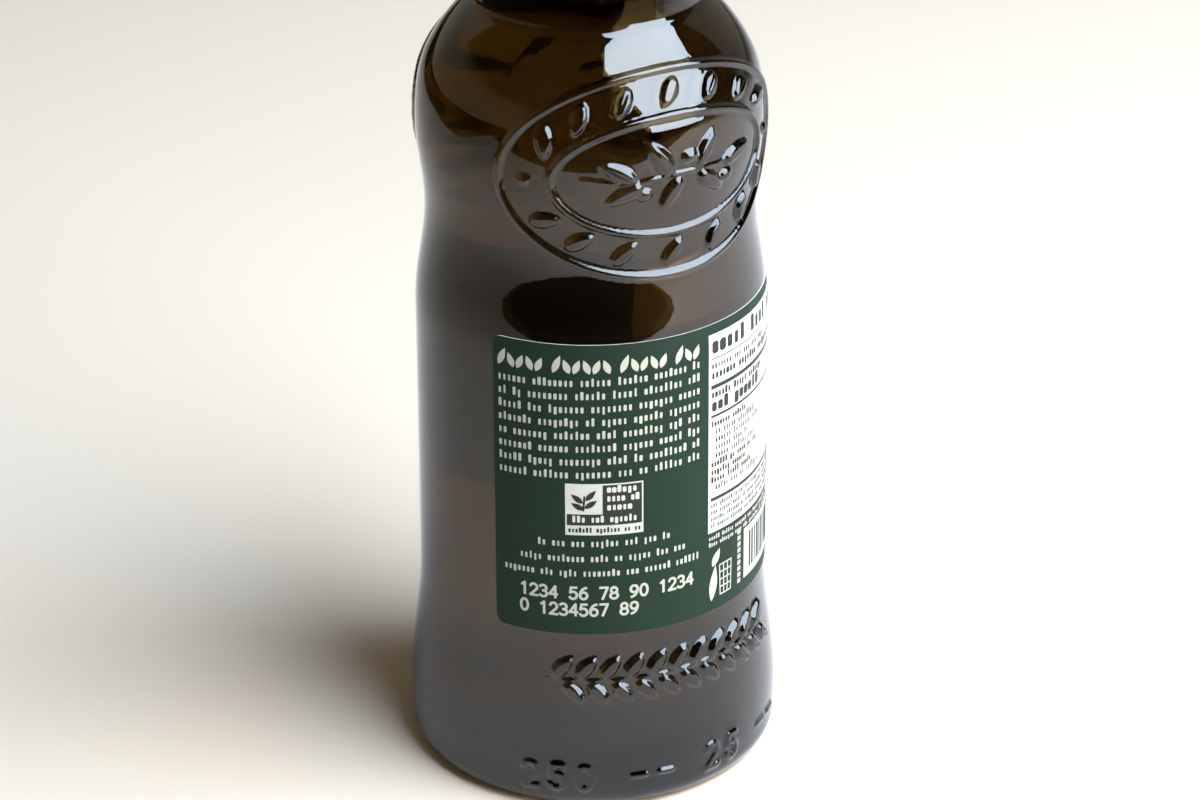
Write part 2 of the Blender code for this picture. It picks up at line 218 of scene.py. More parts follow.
@dataclass(frozen=True)
class GlassFinish:
    """Dark bottle glass with slow waves and fine ripples, darker in the foot and the neck."""

    tint: Colour = (0.165, 0.118, 0.052)
    foot_tint: Colour = (0.060, 0.045, 0.022)
    foot_from: float = 14.0 * MM
    foot_to: float = 4.0 * MM
    neck_tint: Colour = (0.060, 0.042, 0.018)
    neck_from: float = 131.0 * MM
    neck_to: float = 136.0 * MM
    wave_scale: float = 42.0
    wave_depth: float = 0.05 * MM
    ripple_scale: float = 650.0
    ripple_share: float = 0.08
    ior: float = 1.5

    def make(self) -> bpy.types.Material:
        """The material."""
        shade = new_shade("dark_glass")
        place = shade.object_place()
        height = shade.axes(place)[2]
        foot = shade.between(height, self.foot_from, self.foot_to)
        neck = shade.between(height, self.neck_from, self.neck_to)
        body = shade.blend(foot, self.tint, self.foot_tint)
        waves = shade.noise(place, self.wave_scale, detail=2.0)
        ripples = shade.noise(place, self.ripple_scale, detail=1.0)
        shade.close(shade.principled({
            "Base Color": shade.blend(neck, body, self.neck_tint),
            "Roughness": 0.0,
            "IOR": self.ior,
            "Transmission Weight": 1.0,
            "Normal": shade.bump(waves + ripples * self.ripple_share, self.wave_depth),
        }))
        return shade.owner


@dataclass(frozen=True)
class OilFinish:
    """Clear golden-green oil."""

    tint: Colour = (0.72, 0.56, 0.10)
    cloud: Colour = (0.66, 0.50, 0.08)
    cloud_scale: float = 30.0
    ior: float = 1.47

    def make(self) -> bpy.types.Material:
        """The material."""
        shade = new_shade("oil")
        drift = shade.noise(shade.object_place(), self.cloud_scale)
        shade.close(shade.principled({
            "Base Color": shade.blend(drift, self.tint, self.cloud),
            "Roughness": 0.0,
            "IOR": self.ior,
            "Transmission Weight": 1.0,
        }))
        return shade.owner


@dataclass(frozen=True)
class PaperFinish:
    """Varnished paper in one printed colour, with a faint mottle and fibre."""

    name: str
    colour: Colour
    mottle: float = 0.12
    mottle_scale: float = 260.0
    roughness: float = 0.5
    roughness_spread: float = 0.16
    gloss: float = 0.15
    fibre_scale: float = 2600.0
    fibre_depth: float = 0.012 * MM

    def make(self) -> bpy.types.Material:
        """The material."""
        shade = new_shade(self.name)
        place = shade.object_place()
        patches = shade.noise(place, self.mottle_scale, detail=5.0)
        fibre = shade.noise(place, self.fibre_scale, detail=2.0)
        darker = tuple(c * (1 - self.mottle) for c in self.colour)
        lighter = tuple(min(1.0, c * (1 + self.mottle)) for c in self.colour)
        shade.close(shade.principled({
            "Base Color": shade.blend(patches, darker, lighter),
            "Roughness": self.roughness + (patches - 0.5) * self.roughness_spread,
            "Specular IOR Level": self.gloss,
            "Normal": shade.bump(fibre, self.fibre_depth),
        }))
        return shade.owner


@dataclass(frozen=True)
class LacquerFinish:
    """Near-black lacquer on rolled aluminium, with rubbed spots and a faint grain."""

    colour: Colour = (0.012, 0.017, 0.014)
    rubbed: Colour = (0.022, 0.028, 0.025)
    rubbed_scale: float = 180.0
    rubbed_from: float = 0.52
    rubbed_to: float = 0.75
    roughness: float = 0.34
    rubbed_roughness: float = 0.06
    grain_roughness: float = 0.1
    grain_scale: float = 1500.0
    grain_depth: float = 0.01 * MM

    def make(self) -> bpy.types.Material:
        """The material."""
        shade = new_shade("cap_lacquer")
        place = shade.object_place()
        cloud = shade.noise(place, self.rubbed_scale, detail=4.0)
        grain = shade.noise(place, self.grain_scale, detail=2.0)
        worn = shade.between(cloud, self.rubbed_from, self.rubbed_to)
        shine = self.roughness + worn * self.rubbed_roughness
        shade.close(shade.principled({
            "Base Color": shade.blend(worn, self.colour, self.rubbed),
            "Metallic": 0.2,
            "Roughness": shine + (grain - 0.5) * self.grain_roughness,
            "Coat Weight": 0.4,
            "Coat Roughness": 0.15,
            "Normal": shade.bump(grain, self.grain_depth),
        }))
        return shade.owner


# Meshes


def add(name: str, data: bpy.types.Mesh | bpy.types.Camera) -> bpy.types.Object:
    """Puts a new object into the scene."""
    made = bpy.data.objects.new(name, data)
    bpy.context.scene.collection.objects.link(made)
    return made


def dress(name: str, points: Array, faces: Array | Sequence, material: bpy.types.Material,
          body: str = "root", sharp: float | None = None) -> bpy.types.Object:
    """Makes a finished piece at the origin.

    Args:
        name: The piece's name.
        points: Its vertices, n by 3.
        faces: Its faces, as rows of vertex numbers.
        material: Its finish.
        body: The body that it rides on.
        sharp: The angle in degrees past which an edge is sharp, or None if none is.

    Returns:
        The piece.
    """
    mesh = bpy.data.meshes.new(name)
    mesh.from_pydata(points.tolist(), [], [tuple(f) for f in faces])
    mesh.shade_smooth()
    if sharp is not None:
        mesh.set_sharp_from_angle(angle=math.radians(sharp))
    mesh.materials.append(material)
    piece = add(name, mesh)
    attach(piece, body)
    LOG.info("%s: %d faces", name, len(mesh.polygons))
    return piece


def ring_faces(rows: int, columns: int, first: int = 0) -> Array:
    """Quads between the rows of a grid whose columns close round a ring.

    Args:
        rows: The number of rows, from low to high on the outer side.
        columns: The number of columns, anticlockwise seen from above.
        first: The number of the grid's first vertex.

    Returns:
        Vertex numbers, four to a face.
    """
    base = first + np.arange((rows - 1) * columns).reshape(rows - 1, columns)
    right = np.roll(base, -1, axis=1)
    return np.stack((base, right, right + columns, base + columns), axis=-1).reshape(-1, 4)


def pole_faces(ring: Array, pole: int, upwards: bool) -> list[tuple[int, int, int]]:
    """Triangles from a ring to a pole.

    Args:
        ring: The ring's vertex numbers, anticlockwise seen from above.
        pole: The pole's vertex number.
        upwards: Whether the triangles face up.

    Returns:
        The triangles.
    """
    after = np.roll(ring, -1)
    pairs = (ring, after) if upwards else (after, ring)
    return [(int(a), int(b), pole) for a, b in zip(*pairs)]


def capped(grid: Array, columns: int, low: float, high: float) -> tuple[Array, list]:
    """A turned shape that is closed at both ends by a point on the axis.

    Args:
        grid: The points of its rings, from the low end to the high one.
        columns: The number of points in a ring.
        low: The height of the low end's point.
        high: The height of the high end's point.

    Returns:
        The points and the faces.
    """
    first, rings = np.arange(columns), len(grid) // columns
    faces = ring_faces(rings, columns).tolist()
    faces += pole_faces(first, len(grid), False)
    faces += pole_faces(len(grid) - columns + first, len(grid) + 1, True)
    return np.vstack((grid, ((0.0, 0.0, low), (0.0, 0.0, high)))), faces


def box_faces(rows: int, columns: int) -> Array:
    """Faces of a thin closed box over a grid: its front, then its back and its rim.

    Args:
        rows: The grid's number of rows.
        columns: Its number of columns.

    Returns:
        Vertex numbers, four to a face. The back's vertices come after all the front's.
    """
    size = rows * columns
    cell = (np.arange(rows - 1)[:, None] * columns + np.arange(columns - 1)).reshape(-1)
    quads = np.stack((cell, cell + 1, cell + columns + 1, cell + columns), axis=-1)
    low, left = np.arange(columns), np.arange(rows) * columns
    high, right = low + (rows - 1) * columns, left + columns - 1
    rim = np.concatenate((low[:-1], right[:-1], high[:0:-1], left[:0:-1]))
    after = np.roll(rim, -1)
    sides = np.stack((after, rim, rim + size, after + size), axis=-1)
    return np.vstack((quads, quads[:, ::-1] + size, sides))


def spun(outline: Array, angles: Array) -> Array:
    """Points of an outline of (radius, height) turned to each angle, row by row.

    Args:
        outline: The outline, n by 2.
        angles: The angles in degrees.

    Returns:
        Points, (n times the number of angles) by 3.
    """
    turn = np.radians(angles)
    x = outline[:, :1] * np.sin(turn)
    y = -outline[:, :1] * np.cos(turn)
    z = np.broadcast_to(outline[:, 1:], x.shape)
    return np.stack((x, y, z), axis=-1).reshape(-1, 3)


def even(start: float, end: float, step: float) -> Array:
    """Values from start up to, but not with, end, about a step apart."""
    count = max(1, round((end - start) / step))
    return start + (end - start) * np.arange(count) / count


# The outline of the glass


@dataclass(frozen=True)
class Wall:
    """The glass's outline, inside and outside, and the way from it to a point in space."""

    foot_radius: float = 31.4 * MM
    heel_arc: float = 3.6 * MM
    ring_width: float = 1.8 * MM
    punt_height: float = 4.0 * MM
    flare: tuple[float, float] = (8.0 * MM, 34.0 * MM)
    body_radius: float = 29.2 * MM
    body_top: tuple[float, float] = (28.84 * MM, 80.5 * MM)
    waist: tuple[float, float] = (26.88 * MM, 98.6 * MM)
    bulge: tuple[float, float] = (28.02 * MM, 112.5 * MM)
    shoulder_start: float = 113.0 * MM
    shoulder_arcs: tuple = ((40.0 * MM, 8.5), (17.0 * MM, 19.0), (27.8 * MM, 24.0))
    neck_fillet: float = 0.5 * MM
    neck_taper: float = 8.0
    neck_radius: float = 14.3 * MM
    collar: tuple[float, float] = (15.4 * MM, 167.6 * MM)
    collar_half: float = 1.8 * MM
    finish_radius: float = 14.4 * MM
    rim_height: float = 194.0 * MM
    rim_arc: float = 0.9 * MM
    thickness: float = 3.4 * MM
    bore_radius: float = 10.9 * MM
    base_thickness: float = 6.0 * MM
    floor_arc: float = 5.0 * MM
    throat: float = 1.8 * MM
    fineness: int = 40
    probe: float = 0.25 * MM

    @staticmethod
    def _eased(start: Array, end: tuple[float, float], steps: int) -> Array:
        """Points from start to end along half a cosine wave, upright at both ends."""
        t = np.arange(1, steps + 1) / steps
        radius = start[0] + (end[0] - start[0]) * (1 - np.cos(np.pi * t)) / 2
        return np.column_stack((radius, start[1] + (end[1] - start[1]) * t))

    @staticmethod
    def _arc(start: Array, radius: float, lean: float, turn: float, steps: int) -> Array:
        """Points of an arc that leans further in by turn degrees, or back out if negative."""
        low, high = math.radians(lean), math.radians(lean + turn)
        a = np.linspace(low, high, steps + 1)[1:]
        sign = math.copysign(1.0, turn)
        r = start[0] - sign * radius * (math.cos(low) - np.cos(a))
        z = start[1] + sign * radius * (np.sin(a) - math.sin(low))
        return np.column_stack((r, z))

    def outer(self) -> Array:
        """The outside from the standing ring's outer edge up to the rim, (radius, height)."""
        n = self.fineness
        quarter = np.radians(np.linspace(0.0, 90.0, n + 1))
        centre = self.foot_radius - self.heel_arc
        heel = (centre + self.heel_arc * np.sin(quarter), self.heel_arc * (1 - np.cos(quarter)))
        parts = [np.column_stack(heel), np.array([(self.foot_radius, self.flare[0])])]
        parts.append(self._eased(parts[-1][-1], (self.body_radius, self.flare[1]), n))
        parts.append(np.array([self.body_top]))
        parts.append(self._eased(parts[-1][-1], self.waist, n))
        parts.append(self._eased(parts[-1][-1], self.bulge, n))
        parts.append(np.array([(self.bulge[0], self.shoulder_start)]))
        lean = 0.0
        for radius, turn in self.shoulder_arcs:
            parts.append(self._arc(parts[-1][-1], radius, lean, turn, n))
            lean += turn
        parts.append(self._arc(parts[-1][-1], self.neck_fillet, lean, self.neck_taper - lean, n))
        radius, height = parts[-1][-1]
        cone = height + (radius - self.neck_radius) / math.tan(math.radians(self.neck_taper))
        collar_radius, collar_height = self.collar
        foot = collar_height - self.collar_half
        parts.append(np.array([(self.neck_radius, cone), (self.neck_radius, foot)]))
        wave = np.radians(np.linspace(0.0, 180.0, n + 1))[1:-1]
        bead_r = self.neck_radius + (collar_radius - self.neck_radius) * np.sin(wave)
        parts.append(np.column_stack((bead_r, collar_height - self.collar_half * np.cos(wave))))
        head = collar_height + self.collar_half
        top = self.rim_height - self.rim_arc
        parts.append(np.array([(self.finish_radius, head), (self.finish_radius, top)]))
        turned_in = quarter[1:]
        rim_r = self.finish_radius - self.rim_arc * (1 - np.cos(turned_in))
        parts.append(np.column_stack((rim_r, top + self.rim_arc * np.sin(turned_in))))
        return np.vstack(parts)

    def table(self) -> tuple[Array, Array, Array]:
        """Rise, radius and height of points close together along the outside."""
        outline = self.outer()
        steps = np.linalg.norm(np.diff(outline, axis=0), axis=1)
        return np.concatenate(([0.0], np.cumsum(steps))), outline[:, 0], outline[:, 1]

    def place(self, angle: Array, rise: Array, lift: Array | float) -> Array:
        """Points lifted off the outer wall along its normal, which a short chord gives.

        Args:
            angle: Degrees round the bottle.
            rise: Lengths along the outline.
            lift: Distances from the wall.

        Returns:
            The points, with x, y and z on the last axis.
        """
        rises, radii, heights = self.table()
        before, after = rise - self.probe, rise + self.probe
        run = np.interp(after, rises, radii) - np.interp(before, rises, radii)
        climb = np.interp(after, rises, heights) - np.interp(before, rises, heights)
        length = np.hypot(run, climb)
        radius = np.interp(rise, rises, radii) + lift * climb / length
        height = np.interp(rise, rises, heights) - lift * run / length
        turn = np.radians(angle)
        parts = np.broadcast_arrays(radius * np.sin(turn), -radius * np.cos(turn), height)
        return np.stack(parts, axis=-1)

    def rise_at(self, height: float | Array) -> Array:
        """The rise at a height."""
        rises, _, heights = self.table()
        return np.interp(height, heights, rises)

    def radius_at(self, height: float | Array) -> Array:
        """The outer radius at a height."""
        _, radii, heights = self.table()
        return np.interp(height, heights, radii)

    @property
    def ring_radius(self) -> float:
        """The standing ring's inner radius."""
        return self.foot_radius - self.heel_arc - self.ring_width

    def _dome(self, radius: Array) -> Array:
        """The punt's height at a radius: half a cosine wave, zero at the standing ring."""
        share = np.minimum(radius / self.ring_radius, 1.0)
        return self.punt_height * (1 + np.cos(np.pi * share)) / 2

    def punt(self) -> Array:
        """The underside from the standing ring in to the axis."""
        radius = np.linspace(self.ring_radius, 0.0, 9)
        return np.column_stack((radius, self._dome(radius)))

    def inner(self, clearance: float = 0.0) -> Array:
        """The inside from the floor's middle up to the bore, moved in by clearance.

        Args:
            clearance: How far the outline stands in from the glass; negative is inside it.

        Returns:
            The outline, (radius, height), up to where the bore begins.
        """
        depth = self.thickness + clearance
        edge = self.foot_radius - depth - self.floor_arc
        radius = np.linspace(0.0, edge, 8)
        floor = np.column_stack((radius, self._dome(radius) + self.base_thickness + clearance))
        a = np.radians(np.linspace(0.0, 90.0, 9)[1:])
        corner = np.column_stack((edge + self.floor_arc * np.sin(a),
                                  floor[-1, 1] + self.floor_arc * (1 - np.cos(a))))
        heights = np.linspace(corner[-1, 1], self.collar[1] - 2 * self.collar_half, 70)
        side = self.place(0.0, self.rise_at(heights), -depth)
        bore = self.bore_radius - clearance
        r, z = -side[:, 1], side[:, 2]
        keep = (z > corner[-1, 1] + MM) & (r > bore + 0.4 * MM)
        return np.vstack((floor, corner, np.column_stack((r, z))[keep]))


# Raised ornament


def soft_ridge(distance: Array, half_width: float) -> Array:
    """A rounded ridge from 0 to 1: a cosine bump of the distance, zero past half_width."""
    return (1 + np.cos(np.pi * np.clip(np.abs(distance) / half_width, 0.0, 1.0))) / 2


def steep_ridge(distance: Array, half_width: float) -> Array:
    """A ridge from 0 to 1 with steep flanks and a broad top: a power of the soft one."""
    ridge = np.maximum(soft_ridge(distance, half_width), TINY) ** STEEPNESS
    return ridge * (np.abs(distance) < half_width)


def oval_distance(across: Array, up: Array, oval: tuple[float, float]) -> Array:
    """Signed distance to an ellipse: its level over the level's slope, close to the curve."""
    level = np.hypot(across / oval[0], up / oval[1]) + TINY
    slope = np.hypot(across / oval[0] ** 2, up / oval[1] ** 2) / level + TINY
    return (level - 1) / slope


def path_distance(across: Array, up: Array, path: Array) -> Array:
    """The least distance from each point to the straight runs of a path."""
    nearest = np.full(np.broadcast(across, up).shape, np.inf)
    for (x0, y0), (x1, y1) in zip(path[:-1], path[1:]):
        run, climb = x1 - x0, y1 - y0
        t = ((across - x0) * run + (up - y0) * climb) / (run**2 + climb**2)
        t = np.clip(t, 0.0, 1.0)
        nearest = np.minimum(nearest, np.hypot(across - x0 - t * run, up - y0 - t * climb))
    return nearest


def bow(centre: tuple[float, float], radii: tuple[float, float], start: float, end: float,
        steps: int = 10) -> list[tuple[float, float]]:
    """Points along part of an ellipse, its angles in degrees from the right, turning left."""
    a = np.radians(np.linspace(start, end, steps + 1))
    x = centre[0] + radii[0] * np.cos(a)
    return list(zip(x, centre[1] + radii[1] * np.sin(a)))


def numeral(sign: str) -> list[Array]:
    """The strokes of a plain numeral or dash, in a cell 0.6 wide and 1 high."""
    strokes = {
        "0": [bow((0.3, 0.5), (0.28, 0.5), 0, 360, 16)],
        "1": [[(0.12, 0.8), (0.34, 1.0), (0.34, 0.0)]],
        "2": [bow((0.3, 0.71), (0.27, 0.29), 165, -35) + [(0.02, 0.0), (0.6, 0.0)]],
        "3": [bow((0.27, 0.75), (0.26, 0.25), 150, -90),
              bow((0.27, 0.26), (0.3, 0.26), 90, -150)],
        "4": [[(0.45, 0.0), (0.45, 1.0), (0.0, 0.3), (0.6, 0.3)]],
        "5": [[(0.54, 1.0), (0.12, 1.0), (0.06, 0.55)]
              + bow((0.27, 0.32), (0.3, 0.32), 125, -150)],
        "6": [bow((0.3, 0.3), (0.27, 0.3), 0, 360, 14),
              bow((0.58, 0.34), (0.55, 0.66), 97, 180)],
        "7": [[(0.0, 1.0), (0.58, 1.0), (0.2, 0.0)]],
        "8": [bow((0.3, 0.75), (0.23, 0.25), 0, 360, 12),
              bow((0.3, 0.26), (0.28, 0.26), 0, 360, 14)],
        "9": [bow((0.3, 0.7), (0.27, 0.3), 0, 360, 14),
              bow((0.02, 0.66), (0.55, 0.66), -83, 0)],
        "-": [[(0.03, 0.5), (0.57, 0.5)]],
        " ": [],
    }
    return [np.array(stroke) for stroke in strokes[sign]]


def leaf_half(along: Array, width: float, power: float = 1.0) -> Array:
    """Half a leaf's width at shares of its length: a power of a sine, widest near the stalk."""
    return width / 2 * np.sin(np.pi * along**0.85) ** power


def swell(across: Array, up: Array, radii: tuple[float, float], power: float) -> Array:
    """A round swelling from 0 to 1: (1 - q squared) to a power, with q the share of the radius."""
    reach = np.hypot(across / radii[0], up / radii[1])
    return np.clip(1 - reach**2, 0.0, 1.0) ** power


@dataclass(frozen=True)
class Leaf:
    """A raised leaf: a pointed oval with a soft crown and a sunk midrib."""

    across: float
    up: float
    heading: float
    length: float
    width: float
    height: float = 0.85 * MM
    fullness: float = 0.8
    crown: float = 0.55
    rib_half: float = 0.28 * MM
    rib_depth: float = 0.25

    def lift(self, across: Array, up: Array) -> Array:
        """Height over the wall: a crown (1 - q squared), with q the share of the half width."""
        turn = math.radians(self.heading)
        x, y = across - self.across, up - self.up
        along = (x * math.cos(turn) + y * math.sin(turn)) / self.length + 0.5
        aside = -x * math.sin(turn) + y * math.cos(turn)
        t = np.clip(along, 0.0, 1.0)
        half = leaf_half(t, self.width, self.fullness) + TINY
        crown = np.clip(1 - (aside / half) ** 2, 0.0, 1.0) ** self.crown
        ends = np.clip(np.minimum(t, 1 - t) * 6, 0.0, 1.0)
        rib = 1 - self.rib_depth * soft_ridge(aside, self.rib_half)
        return self.height * crown * ends * rib * ((along > 0) & (along < 1))


# The sprig in a medallion, in mm from its middle: leaves (across, up, heading, length), the
# stem's path and the olives.
SPRIG_LEAVES = (
    (-9.5, 1.6, 150.0, 7.0), (-8.5, -2.2, 205.0, 7.0), (-2.5, 3.0, 125.0, 7.0),
    (-1.0, -3.0, 235.0, 7.0), (5.5, 3.2, 55.0, 7.0), (6.5, -2.4, -40.0, 7.0),
    (12.5, 0.6, 12.0, 7.5),
)
SPRIG_STEM = ((-15.0, 0.6), (-8.0, -0.4), (0.0, 0.3), (8.0, 0.0), (14.0, 0.9))
SPRIG_OLIVES = ((-5.6, -2.4), (2.4, 2.6), (10.0, -2.5))


@dataclass(frozen=True)
class Patch:
    """A stretch of the wall with flat coordinates: across and up from its middle."""

    angle: float
    rise: float
    girth: float

    def flat(self, angles: Array, rises: Array) -> tuple[Array, Array]:
        """Flat coordinates of a grid of wall points, columns by angle and rows by rise."""
        turn = (angles - self.angle + 180.0) % 360.0 - 180.0
        return np.radians(turn)[None, :] * self.girth, (rises - self.rise)[:, None]


@dataclass(frozen=True)
class Medallion:
    """Two oval rings with a wreath between them and an olive sprig inside."""

    patch: Patch
    outer: tuple[float, float] = (28.6 * MM, 17.0 * MM)
    inner: tuple[float, float] = (20.0 * MM, 9.8 * MM)
    band: tuple[float, float] = (24.3 * MM, 13.3 * MM)
    ring_half: float = 0.72 * MM
    height: float = 0.6 * MM
    studs: tuple[float, float] = (1.0 * MM, 1.0 * MM)
    wreath_leaves: int = 7
    wreath_step: float = 20.0
    wreath_heading: float = 50.0
    wreath_leaf: tuple[float, float] = (5.7 * MM, 2.8 * MM)
    olive: tuple[float, float] = (1.5 * MM, 1.15 * MM)
    olive_height: float = 0.72 * MM
    stem_half: float = 0.45 * MM
    stem_height: float = 0.3 * MM
    sprig_width: float = 2.8

    def leaves(self) -> list[Leaf]:
        """The wreath's leaves and the sprig's."""
        made = []
        wide, high = self.band
        for side in (1, -1):
            for step in range(self.wreath_leaves):
                turn = 90.0 * side + (step - (self.wreath_leaves - 1) / 2) * self.wreath_step
                x, y = math.cos(math.radians(turn)), math.sin(math.radians(turn))
                tangent = math.degrees(math.atan2(high * x, -wide * y))
                heading = tangent + self.wreath_heading
                made.append(Leaf(wide * x, high * y, heading, *self.wreath_leaf))
        for across, up, heading, length in SPRIG_LEAVES:
            place, size = np.array((across, up)) * MM, np.array((length, self.sprig_width)) * MM
            made.append(Leaf(*place, heading, *size))
        return made

    def lift(self, angles: Array, rises: Array) -> Array:
        """Heights over the wall on a grid: the greatest of all the forms at each point."""
        across, up = self.patch.flat(angles, rises)
        made = np.maximum(
            self.height * steep_ridge(oval_distance(across, up, self.outer), self.ring_half),
            self.height * steep_ridge(oval_distance(across, up, self.inner), self.ring_half),
        )
        for leaf in self.leaves():
            made = np.maximum(made, leaf.lift(across, up))
        for side in (1, -1):
            stud = swell(across - side * self.band[0], up, self.studs, 0.6)
            made = np.maximum(made, self.height * stud)
        stem = path_distance(across, up, np.array(SPRIG_STEM) * MM)
        made = np.maximum(made, self.stem_height * soft_ridge(stem, self.stem_half))
        for x, y in SPRIG_OLIVES:
            olive = swell(across - x * MM, up - y * MM, self.olive, 0.5)
            made = np.maximum(made, self.olive_height * olive)
        return made


@dataclass(frozen=True)
class Garland:
    """Pairs of leaves along a level stem near the foot."""

    patch: Patch
    pairs: int = 11
    step: float = 4.0 * MM
    reach: float = 2.3 * MM
    heading: float = 50.0
    leaf: tuple[float, float] = (5.4 * MM, 2.6 * MM)
    stem_half: float = 0.45 * MM
    stem_height: float = 0.35 * MM

    def lift(self, angles: Array, rises: Array) -> Array:
        """Heights over the wall on a grid."""
        across, up = self.patch.flat(angles, rises)
        half = (self.pairs - 1) / 2 * self.step
        inside = np.clip((half + self.step - np.abs(across)) / self.step, 0.0, 1.0)
        made = self.stem_height * soft_ridge(up, self.stem_half) * inside
        for pair in range(self.pairs):
            for side in (1, -1):
                x = pair * self.step - half + (0.5 * self.step if side < 0 else 0.0)
                leaf = Leaf(x, side * self.reach, side * self.heading, *self.leaf)
                made = np.maximum(made, leaf.lift(across, up))
        return made


@dataclass(frozen=True)
class Marks:
    """Plain numerals and dashes just above the heel."""

    patch: Patch
    text: str = "250 -- 25 --"
    step: float = 4.6 * MM
    size: float = 4.4 * MM
    stroke: float = 0.68 * MM
    height: float = 0.4 * MM

    def lift(self, angles: Array, rises: Array) -> Array:
        """Heights over the wall on a grid."""
        across, up = self.patch.flat(angles, rises)
        made = np.zeros(np.broadcast(across, up).shape)
        for index, sign in enumerate(self.text):
            for stroke in numeral(sign):
                path = stroke * self.size + (index * self.step, -self.size / 2)
                ridge = steep_ridge(path_distance(across, up, path), self.stroke)
                made = np.maximum(made, self.height * ridge)
        return made


# Sub-assemblies


@dataclass
class GlassBottle:
    """The glass: an outer wall with raised ornament, a punt, a rim and a smooth inside."""

    wall: Wall
    ornament: tuple = (
        Medallion(Patch(28.5, 114.6 * MM, 27.8 * MM)),
        Medallion(Patch(208.5, 114.6 * MM, 27.8 * MM)),
        Garland(Patch(28.5, 26.6 * MM, 29.9 * MM)),
        Marks(Patch(-22.0, 8.6 * MM, 31.4 * MM)),
    )
    # Where the grid is close, as start, end and step: columns by angle, rows by rise in mm.
    near: tuple[float, float, float] = (-34.0, 91.0, 0.63)
    far: tuple[float, float, float] = (148.0, 269.0, 1.1)
    plain_step: float = 3.5
    row_zones: tuple = (
        (0.0, 5.6, 0.7), (5.6, 11.6, 0.3), (11.6, 20.4, 1.8), (20.4, 32.8, 0.33),
        (32.8, 82.0, 5.0), (82.0, 96.4, 1.6), (96.4, 132.8, 0.3), (132.8, 142.4, 0.7),
        (142.4, 170.6, 4.0), (170.6, 177.4, 0.57), (177.4, 214.0, 5.0),
    )
    inner_share: int = 4
    lip_share: float = 0.3

    def columns(self) -> Array:
        """Angles of the grid's columns: close together where there is ornament."""
        made = np.concatenate((
            even(*self.near),
            even(self.near[1], self.far[0], self.plain_step),
            even(*self.far),
            even(self.far[1], self.near[0] + 360.0, self.plain_step),
        ))
        spare = len(made) % self.inner_share
        return made if spare == 0 else np.delete(made, np.arange(1, 2 * spare, 2))

    def rows(self) -> Array:
        """Rises of the grid's rows, up to where the rim turns in."""
        top = self.wall.table()[0][-1]
        zones = [even(a * MM, b * MM, s * MM) for a, b, s in self.row_zones]
        rises = np.concatenate(zones)
        rim = top - self.wall.rim_arc * math.pi / 2
        return np.concatenate((rises[rises < rim - MM], np.linspace(rim, top, 5)))

    def build(self, finish: GlassFinish) -> bpy.types.Object:
        """Makes the glass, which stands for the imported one.

        Args:
            finish: The glass's finish.

        Returns:
            The piece.
        """
        wall, angles, rises = self.wall, self.columns(), self.rows()
        count = len(angles)
        lift = np.zeros((len(rises), count))
        for ornament in self.ornament:
            lift = np.maximum(lift, ornament.lift(angles, rises))
        outer = wall.place(angles[None, :], rises[:, None], lift).reshape(-1, 3)
        punt = spun(wall.punt()[-2::-1], angles)
        out, down = np.array(((1.0, self.lip_share, 0.0), (0.0, self.lip_share, 1.0)))
        lip = np.column_stack((wall.bore_radius + out * wall.rim_arc,
                               wall.rim_height - down * wall.rim_arc))
        grid = np.vstack((punt, outer, spun(lip, angles)))
        rows = len(grid) // count
        faces = ring_faces(rows, count).tolist()
        inside = wall.inner()
        throat = np.array([(wall.bore_radius, inside[-1, 1] + wall.throat)])
        outline = np.vstack((inside[1:], throat))[::-1]
        coarse = angles[:: self.inner_share]
        first = len(grid)
        inner = spun(outline, coarse)
        faces += self._stitch((rows - 1) * count, first, count)
        faces += ring_faces(len(outline), len(coarse), first).tolist()
        poles = np.array(((0.0, 0.0, wall.punt_height), (0.0, 0.0, inside[0, 1])))
        low_pole = first + len(inner)
        faces += pole_faces(np.arange(count), low_pole, False)
        last_ring = first + len(inner) - len(coarse) + np.arange(len(coarse))
        faces += pole_faces(last_ring, low_pole + 1, True)
        made = dress("glass", np.vstack((grid, inner, poles)), faces, finish.make())
        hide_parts(Piece.GLASS.value)
        return made

    def _stitch(self, upper: int, lower: int, count: int) -> list[tuple[int, ...]]:
        """Faces from a full ring down to one with a share of its columns.

        Args:
            upper: The full ring's first vertex.
            lower: The coarse ring's first vertex.
            count: The full ring's number of vertices.

        Returns:
            A triangle or a quad for each column of the full ring.
        """
        made = []
        share = self.inner_share
        for column in range(count):
            a, b = upper + column, upper + (column + 1) % count
            here = lower + column // share
            if column % share == share - 1:
                there = lower + (column // share + 1) % (count // share)
                made.append((a, b, there, here))
            else:
                made.append((a, b, here))
        return made


@dataclass
class OliveOil:
    """The oil: it reaches just into the glass, and its level climbs by a cube at the edge."""

    wall: Wall
    level: float = 154.0 * MM
    reach: float = 0.2 * MM
    edge_height: float = 1.2 * MM
    edge_share: float = 0.3
    sides: int = 96

    def build(self, finish: OilFinish) -> bpy.types.Object:
        """Makes the oil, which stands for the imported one.

        Args:
            finish: The oil's finish.

        Returns:
            The piece.
        """
        inside = self.wall.inner(-self.reach)
        inside = inside[inside[:, 1] < self.level - MM]
        bore = self.wall.bore_radius + self.reach
        fall = np.linspace(0.0, 1.0, 7)
        radius = bore * (1 - self.edge_share * fall)
        surface = np.column_stack((radius, self.level + self.edge_height * (1 - fall) ** 3))
        outline = np.vstack((inside[1:], surface))
        angles = np.arange(self.sides) * 360.0 / self.sides
        points, faces = capped(spun(outline, angles), self.sides, inside[0, 1], self.level)
        made = dress("oil", points, faces, finish.make())
        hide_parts(Piece.OIL.value)
        return made


